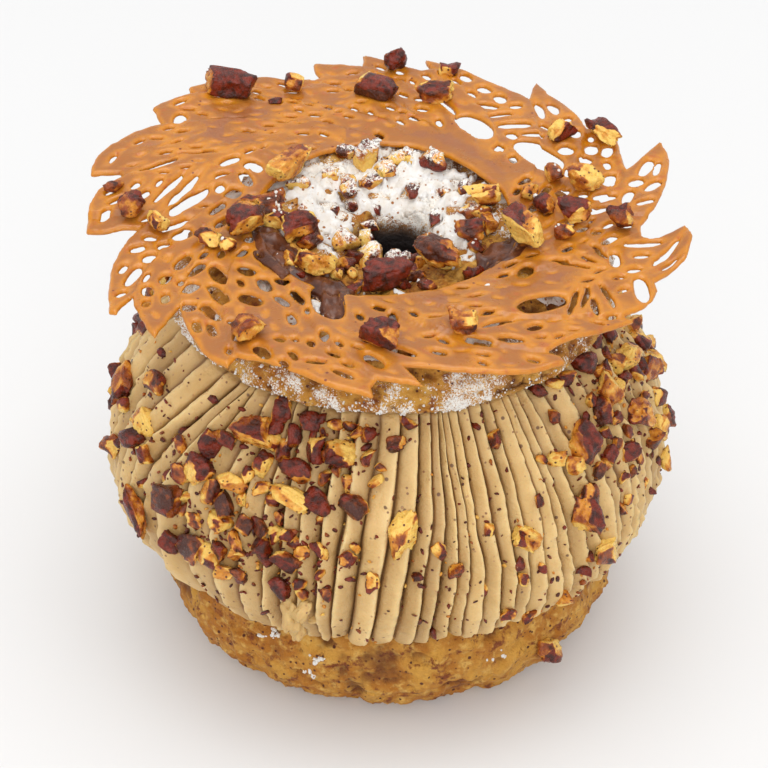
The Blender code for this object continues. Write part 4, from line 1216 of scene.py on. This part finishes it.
def build_chopped_nuts(finish, placed):
    """The smaller nut pieces, kept clear of those already placed."""
    chance = np.random.default_rng(77)
    heap = Heap("skin", "toast", "dust")

    def free(middle, radius, closeness=0.72):
        return all(np.linalg.norm(middle - other) > closeness * (radius + reach) for other, reach in placed)

    def settle(found, length, seed, sink, powder=0.0):
        spot, normal, _ = found
        middle = spot + normal * length * 0.15
        if not free(middle, length * 0.42):
            return
        placed.append((middle, length * 0.42))
        chopped(heap, spot, normal, length, random_look(chance), seed, sink, powder)

    seed = 1000
    for angle, height, wide, tall, count, usual in CREAM_NUT_GROUPS:
        for _ in range(int(count * 1.5)):
            seed += 1
            around = math.radians(chance.normal(angle, wide))
            level = float(np.clip(chance.normal(height, tall), 24 if angle > 270 else 33, 58.2))
            length = usual * chance.uniform(0.65, 1.3)
            out = np.array([math.cos(around), math.sin(around), 0.0])
            start = out * 60 + np.array([0, 0, level])
            found = cast(["piped_cream"], start, -out)
            if found:
                settle(found, length, seed, 0.2)
    for x, y, spread, count, usual in LID_NUT_GROUPS:
        for _ in range(int(count * 1.6)):
            seed += 1
            spot_x, spot_y = chance.normal((x, y), spread * 0.7)
            length = usual * chance.uniform(0.65, 1.3)
            if math.hypot(spot_x - 1.4, spot_y - 0.6) < 4.6 or math.hypot(spot_x, spot_y) > 19.0:
                continue
            found = cast(["baked_lid"], (spot_x, spot_y, 90.0), (0, 0, -1))
            if found:
                settle(found, length, seed, 0.1, 0.85 if spot_y > 1.0 and spot_x < 13 else 0.3)
    for x, y, long, wide, thick, turn, look in TUILE_NUTS:
        seed += 1
        found = cast(["caramel_lace", "baked_lid"], (x, y, 90.0), (0, 0, -1))
        points, faces, skin, toast = nut_shape(3, (long, wide, thick), look, seed)
        ground = found[0][2] if found else tuile_height(x, y) + 0.5
        middle = np.array([x, y, ground + thick * 0.45])
        dusted = math.hypot(x, y) < 8 or (y > 8 and math.hypot(x, y) < 18)
        dust = 0.85 * smooth(-0.3, 0.5, points[:, 2] / thick) * dusted
        axes = level_basis(np.array([0, 0, 1.0]), math.radians(turn))
        heap.add(middle + points @ axes, faces, skin=skin, toast=toast, dust=dust)
    heap.piece("chopped_nuts", finish, "toasted_nut")


def build_crumbs(finish):
    """Flakes of dark skin and crumbs of flesh on the cream."""
    chance = np.random.default_rng(5)
    heap = Heap("skin", "toast", "dust")
    start_points, faces = BALLS[1]
    for number in range(1500):
        around = chance.uniform(0, TAU)
        level = chance.uniform(17, 58)
        if number % 3 == 0:
            angle, height, wide, tall = CREAM_NUT_GROUPS[number // 3 % 12][:4]
            around = math.radians(chance.normal(angle, wide))
            level = float(np.clip(chance.normal(height, tall), 17, 58))
        out = np.array([math.cos(around), math.sin(around), 0.0])
        found = cast(["piped_cream"], out * 60 + np.array([0, 0, level]), -out)
        if found is None:
            continue
        flake = chance.uniform() < 0.55
        long = chance.uniform(0.5, 1.4) if flake else chance.uniform(0.4, 1.0)
        if chance.uniform() < 0.1:
            long *= 1.9
        size = np.array([long, long * chance.uniform(0.4, 0.8), long * (0.2 if flake else 0.6)]) / 2
        shape = start_points * (1 + 0.35 * noise(start_points + number, 0.8, 3))[:, None] * size
        axes = basis(found[1] + chance.normal(size=3) * 0.35, chance.uniform(0, TAU))
        middle = found[0] + found[1] * size[2] * 0.5
        skin = 1.0 if flake or chance.uniform() < 0.3 else 0.0
        heap.add(middle + shape @ axes, faces, skin=skin, toast=chance.uniform(0.2, 1.0), dust=0.0)
    heap.piece("nut_crumbs", finish, "toasted_nut")


# ---------------------------------------------------------------- icing sugar and praline

SUGAR_REACH = 33.0
SUGAR_PITCH = 0.4
BASE_SUGAR = ((240, 15.5, 1.2, 14), (253, 13.5, 0.9, 9), (251, 10.5, 0.9, 9), (298, 12.0, 1.5, 5))


def sugar_cover(x, y):
    """How much icing sugar lies at a place on the lid: below 0 none, towards 1 a thick coat."""
    flat = np.column_stack([np.ravel(x), np.ravel(y), 0 * np.ravel(x)])
    radius = np.hypot(flat[:, 0], flat[:, 1])
    patches = 0.45 * noise(flat, 6.5, 61) + 0.55 * noise(flat, 2.6, 62) + 0.6 * noise(flat, 1.2, 63)
    heart = smooth(21.0, 12.0, radius) * smooth(-16.0, 4.0, flat[:, 1])
    cover = 0.42 * heart - 0.02 + patches - 1.5 * smooth(8.4, 5.4, np.hypot(flat[:, 0] - 1, flat[:, 1]))
    cover -= 0.5 * smooth(24.0, 18.0, radius) * smooth(1.0, -7.0, flat[:, 1])
    return cover.reshape(np.shape(x))


def build_sugar(finish):
    """A coat of sugar on the lid's heart, and clumps and grains round it and on the base."""
    steps = np.arange(-SUGAR_REACH, SUGAR_REACH, SUGAR_PITCH)
    x, y = np.meshgrid(steps, steps, indexing="ij")
    cover = sugar_cover(x, y)
    cover = np.minimum(cover, (SUGAR_REACH - 1.5 - np.hypot(x, y)) * 0.3)
    ground = np.full(x.shape, np.nan)
    for row, column in np.argwhere(cover > -0.35):
        found = cast(["baked_lid"], (x[row, column], y[row, column], 90.0), (0, 0, -1))
        ground[row, column] = found[0][2] if found else np.nan
    cover = np.where(np.isnan(ground), -1.0, cover)
    spots, triangles, solid = contour_cells(cover - 0.12)
    plan = spots * SUGAR_PITCH - SUGAR_REACH
    cell = np.clip(np.round(spots).astype(int), 0, len(steps) - 1)
    height = ground[cell[:, 0], cell[:, 1]]
    depth = np.clip(cover[cell[:, 0], cell[:, 1]] - 0.12, 0, None)
    depth[solid:] = 0.0
    flat = np.column_stack([plan, height])
    rough = 0.5 + 0.75 * noise(flat, 0.75, 71) + 0.3 * noise(flat, 2.0, 72)
    heap_up = 1.5 * smooth(5.0, 2.0, np.hypot(plan[:, 0] - 2.0, (plan[:, 1] - 15.5) * 1.6))
    thick = np.minimum(depth * 2.6, 0.9) * (0.45 + 0.7 * np.clip(rough, 0, 1.4) + heap_up)
    top = np.column_stack([plan, height + 0.04 + thick])
    bottom = np.column_stack([plan[:solid], height[:solid] - 0.25])
    count = len(top)
    lower = np.where(triangles < solid, triangles + count, triangles)
    heap = Heap()
    heap.add(np.concatenate([top, bottom]), np.concatenate([triangles, lower[:, ::-1]]))
    chance = np.random.default_rng(9)
    ball_points, ball_faces = BALLS[1]

    def clump(spot, size, seed):
        shape = ball_points * (1 + 0.35 * noise(ball_points + seed, 0.7, 4))[:, None]
        shape = shape * chance.uniform(0.6, 1.2, 3) * size
        heap.add(spot + shape, ball_faces)

    for seed in range(2600):
        radius = 34.0 * math.sqrt(chance.uniform(0.01, 1))
        around = chance.uniform(0, TAU)
        spot_x, spot_y = radius * math.cos(around), radius * math.sin(around)
        if float(sugar_cover(np.array([spot_x]), np.array([spot_y]))[0]) < chance.uniform(-0.1, 0.5):
            continue
        found = cast(["baked_lid", "chopped_nuts"], (spot_x, spot_y, 90.0), (0, 0, -1))
        if found:
            clump(found[0], chance.uniform(0.14, 0.5), seed)
    for seed in range(2600, 4400):
        around = chance.uniform(0, TAU)
        level = LID_BOTTOM + 0.4 + abs(chance.normal(0, 2.6))
        patch = noise(np.array([[36 * math.cos(around), 36 * math.sin(around), level]]), 5.0, 64)[0]
        if patch < chance.uniform(-0.5, 0.35):
            continue
        out = np.array([math.cos(around), math.sin(around), 0.0])
        found = cast(["baked_lid"], out * 60 + np.array([0, 0, level]), -out)
        if found:
            clump(found[0], chance.uniform(0.08, 0.3), seed)
    for angle, height, spread, count in BASE_SUGAR:
        for seed in range(4400, 4400 + count):
            around = math.radians(chance.normal(angle, spread))
            out = np.array([math.cos(around), math.sin(around), 0.0])
            start = out * 60 + np.array([0, 0, chance.normal(height, spread * 0.5)])
            found = cast(["baked_base"], start, -out)
            if found:
                clump(found[0], chance.uniform(0.15, 0.5), seed)
    heap.piece("icing_sugar", finish, "choux")


PRALINE_DABS = (  # x, y, half-length, half-width, half-thickness and turn
    (-18.6, -6.4, 4.6, 2.8, 1.0, 100),
    (-15.0, -10.6, 5.6, 3.4, 1.1, 128),
    (-10.6, -14.6, 5.4, 3.2, 1.0, 140),
    (-8.2, -19.4, 4.6, 2.6, 1.2, 105),
    (-17.4, -13.2, 4.8, 1.6, 0.7, 125),
    (18.4, -7.6, 4.6, 3.4, 1.1, 30),
)


def build_dabs(finish):
    """Smears of praline that follow whatever they lie on."""
    points, faces = BALLS[4]
    heap = Heap()
    for number, (x, y, long, wide, thick, turn) in enumerate(PRALINE_DABS):
        start = cast(["caramel_lace", "baked_lid"], (x, y, 90.0), (0, 0, -1))[0]
        shape = points * (1 + 0.3 * noise(points + number * 9, 0.8, 2))[:, None]
        shape = shape * np.array([long, wide, thick]) @ level_basis(np.array([0, 0, 1.0]), math.radians(turn))
        place = start + shape
        for index, (spot_x, spot_y, _) in enumerate(place):
            found = cast(["caramel_lace", "baked_lid"], (spot_x, spot_y, 90.0), (0, 0, -1))
            ground = found[0][2] if found else start[2]
            ground = min(max(ground, start[2] - 2.0), start[2] + 1.2)
            place[index, 2] = ground + max(shape[index, 2], -0.3)
        heap.add(place, faces)
    heap.piece("praline_dabs", finish, "caramel")


# ---------------------------------------------------------------- floor, light and camera


def build_stage():
    """A pale floor just under the pastry; its slight glow stands for the bright room."""
    mesh = bpy.data.meshes.new("floor")
    half = 2.0  # metres
    corners = [(-half, -half, 0), (half, -half, 0), (half, half, 0), (-half, half, 0)]
    mesh.from_pydata(corners, [], [(0, 1, 2, 3)])
    floor = bpy.data.objects.new("floor", mesh)
    bpy.context.scene.collection.objects.link(floor)
    n = Nodes("floor_finish")
    glow = {"Emission_Color": (1.0, 1.0, 1.0, 1.0), "Emission_Strength": 0.09}
    mesh.materials.append(n.finish((0.68, 0.68, 0.68, 1.0), 0.7, **glow))
    floor.location.z = -0.2 * MM


def add_light(name, place, size, power):
    """A round soft light that shines at the middle of the pastry."""
    light = bpy.data.lights.new(name, "AREA")
    light.shape = "DISK"
    light.size = size
    light.energy = power
    lamp = bpy.data.objects.new(name, light)
    lamp.location = place
    aim = Vector((0, 0, 0.04)) - Vector(place)
    lamp.rotation_euler = aim.to_track_quat("-Z", "Y").to_euler()
    bpy.context.scene.collection.objects.link(lamp)


def build_light():
    """An even white surround, one soft light above and one from the front."""
    world = bpy.data.worlds.new("studio")
    world.use_nodes = True
    world.node_tree.nodes["Background"].inputs["Color"].default_value = (1.0, 1.0, 1.0, 1.0)
    world.node_tree.nodes["Background"].inputs["Strength"].default_value = 0.88
    bpy.context.scene.world = world
    bpy.context.scene.view_settings.view_transform = "Standard"
    add_light("overhead", (0.0, -0.05, 0.9), 0.7, 3.2)
    add_light("front_fill", (0.0, -0.95, 0.6), 0.8, 3.6)


def build_camera():
    """Looks down on the front from the photograph's height, from less than half a metre away."""
    low, high = cad_box
    height = high[2] - low[2]
    elevation = math.radians(34.5)
    distance = 5.5 * height
    target = Vector((-0.0006, 0.0021, 0.49 * height))
    camera = bpy.data.cameras.new("camera")
    camera.sensor_width = 36.0
    camera.lens = 36.0 * distance / 0.1265
    camera.clip_start = 0.01
    viewer = bpy.data.objects.new("camera", camera)
    viewer.location = target + distance * Vector((0, -math.cos(elevation), math.sin(elevation)))
    viewer.rotation_euler = (math.radians(90) - elevation, 0, 0)
    bpy.context.scene.collection.objects.link(viewer)
    bpy.context.scene.camera = viewer


def main():
    build_stage()
    build_light()
    build_camera()
    build_base()
    cream = build_cream()
    build_shreds(cream.data.materials[0])
    build_lid()
    build_tuile()
    finish, placed = build_large_nuts()
    build_chopped_nuts(finish, placed)
    build_crumbs(finish)
    build_sugar(sugar_finish())
    build_dabs(praline_finish())


main()
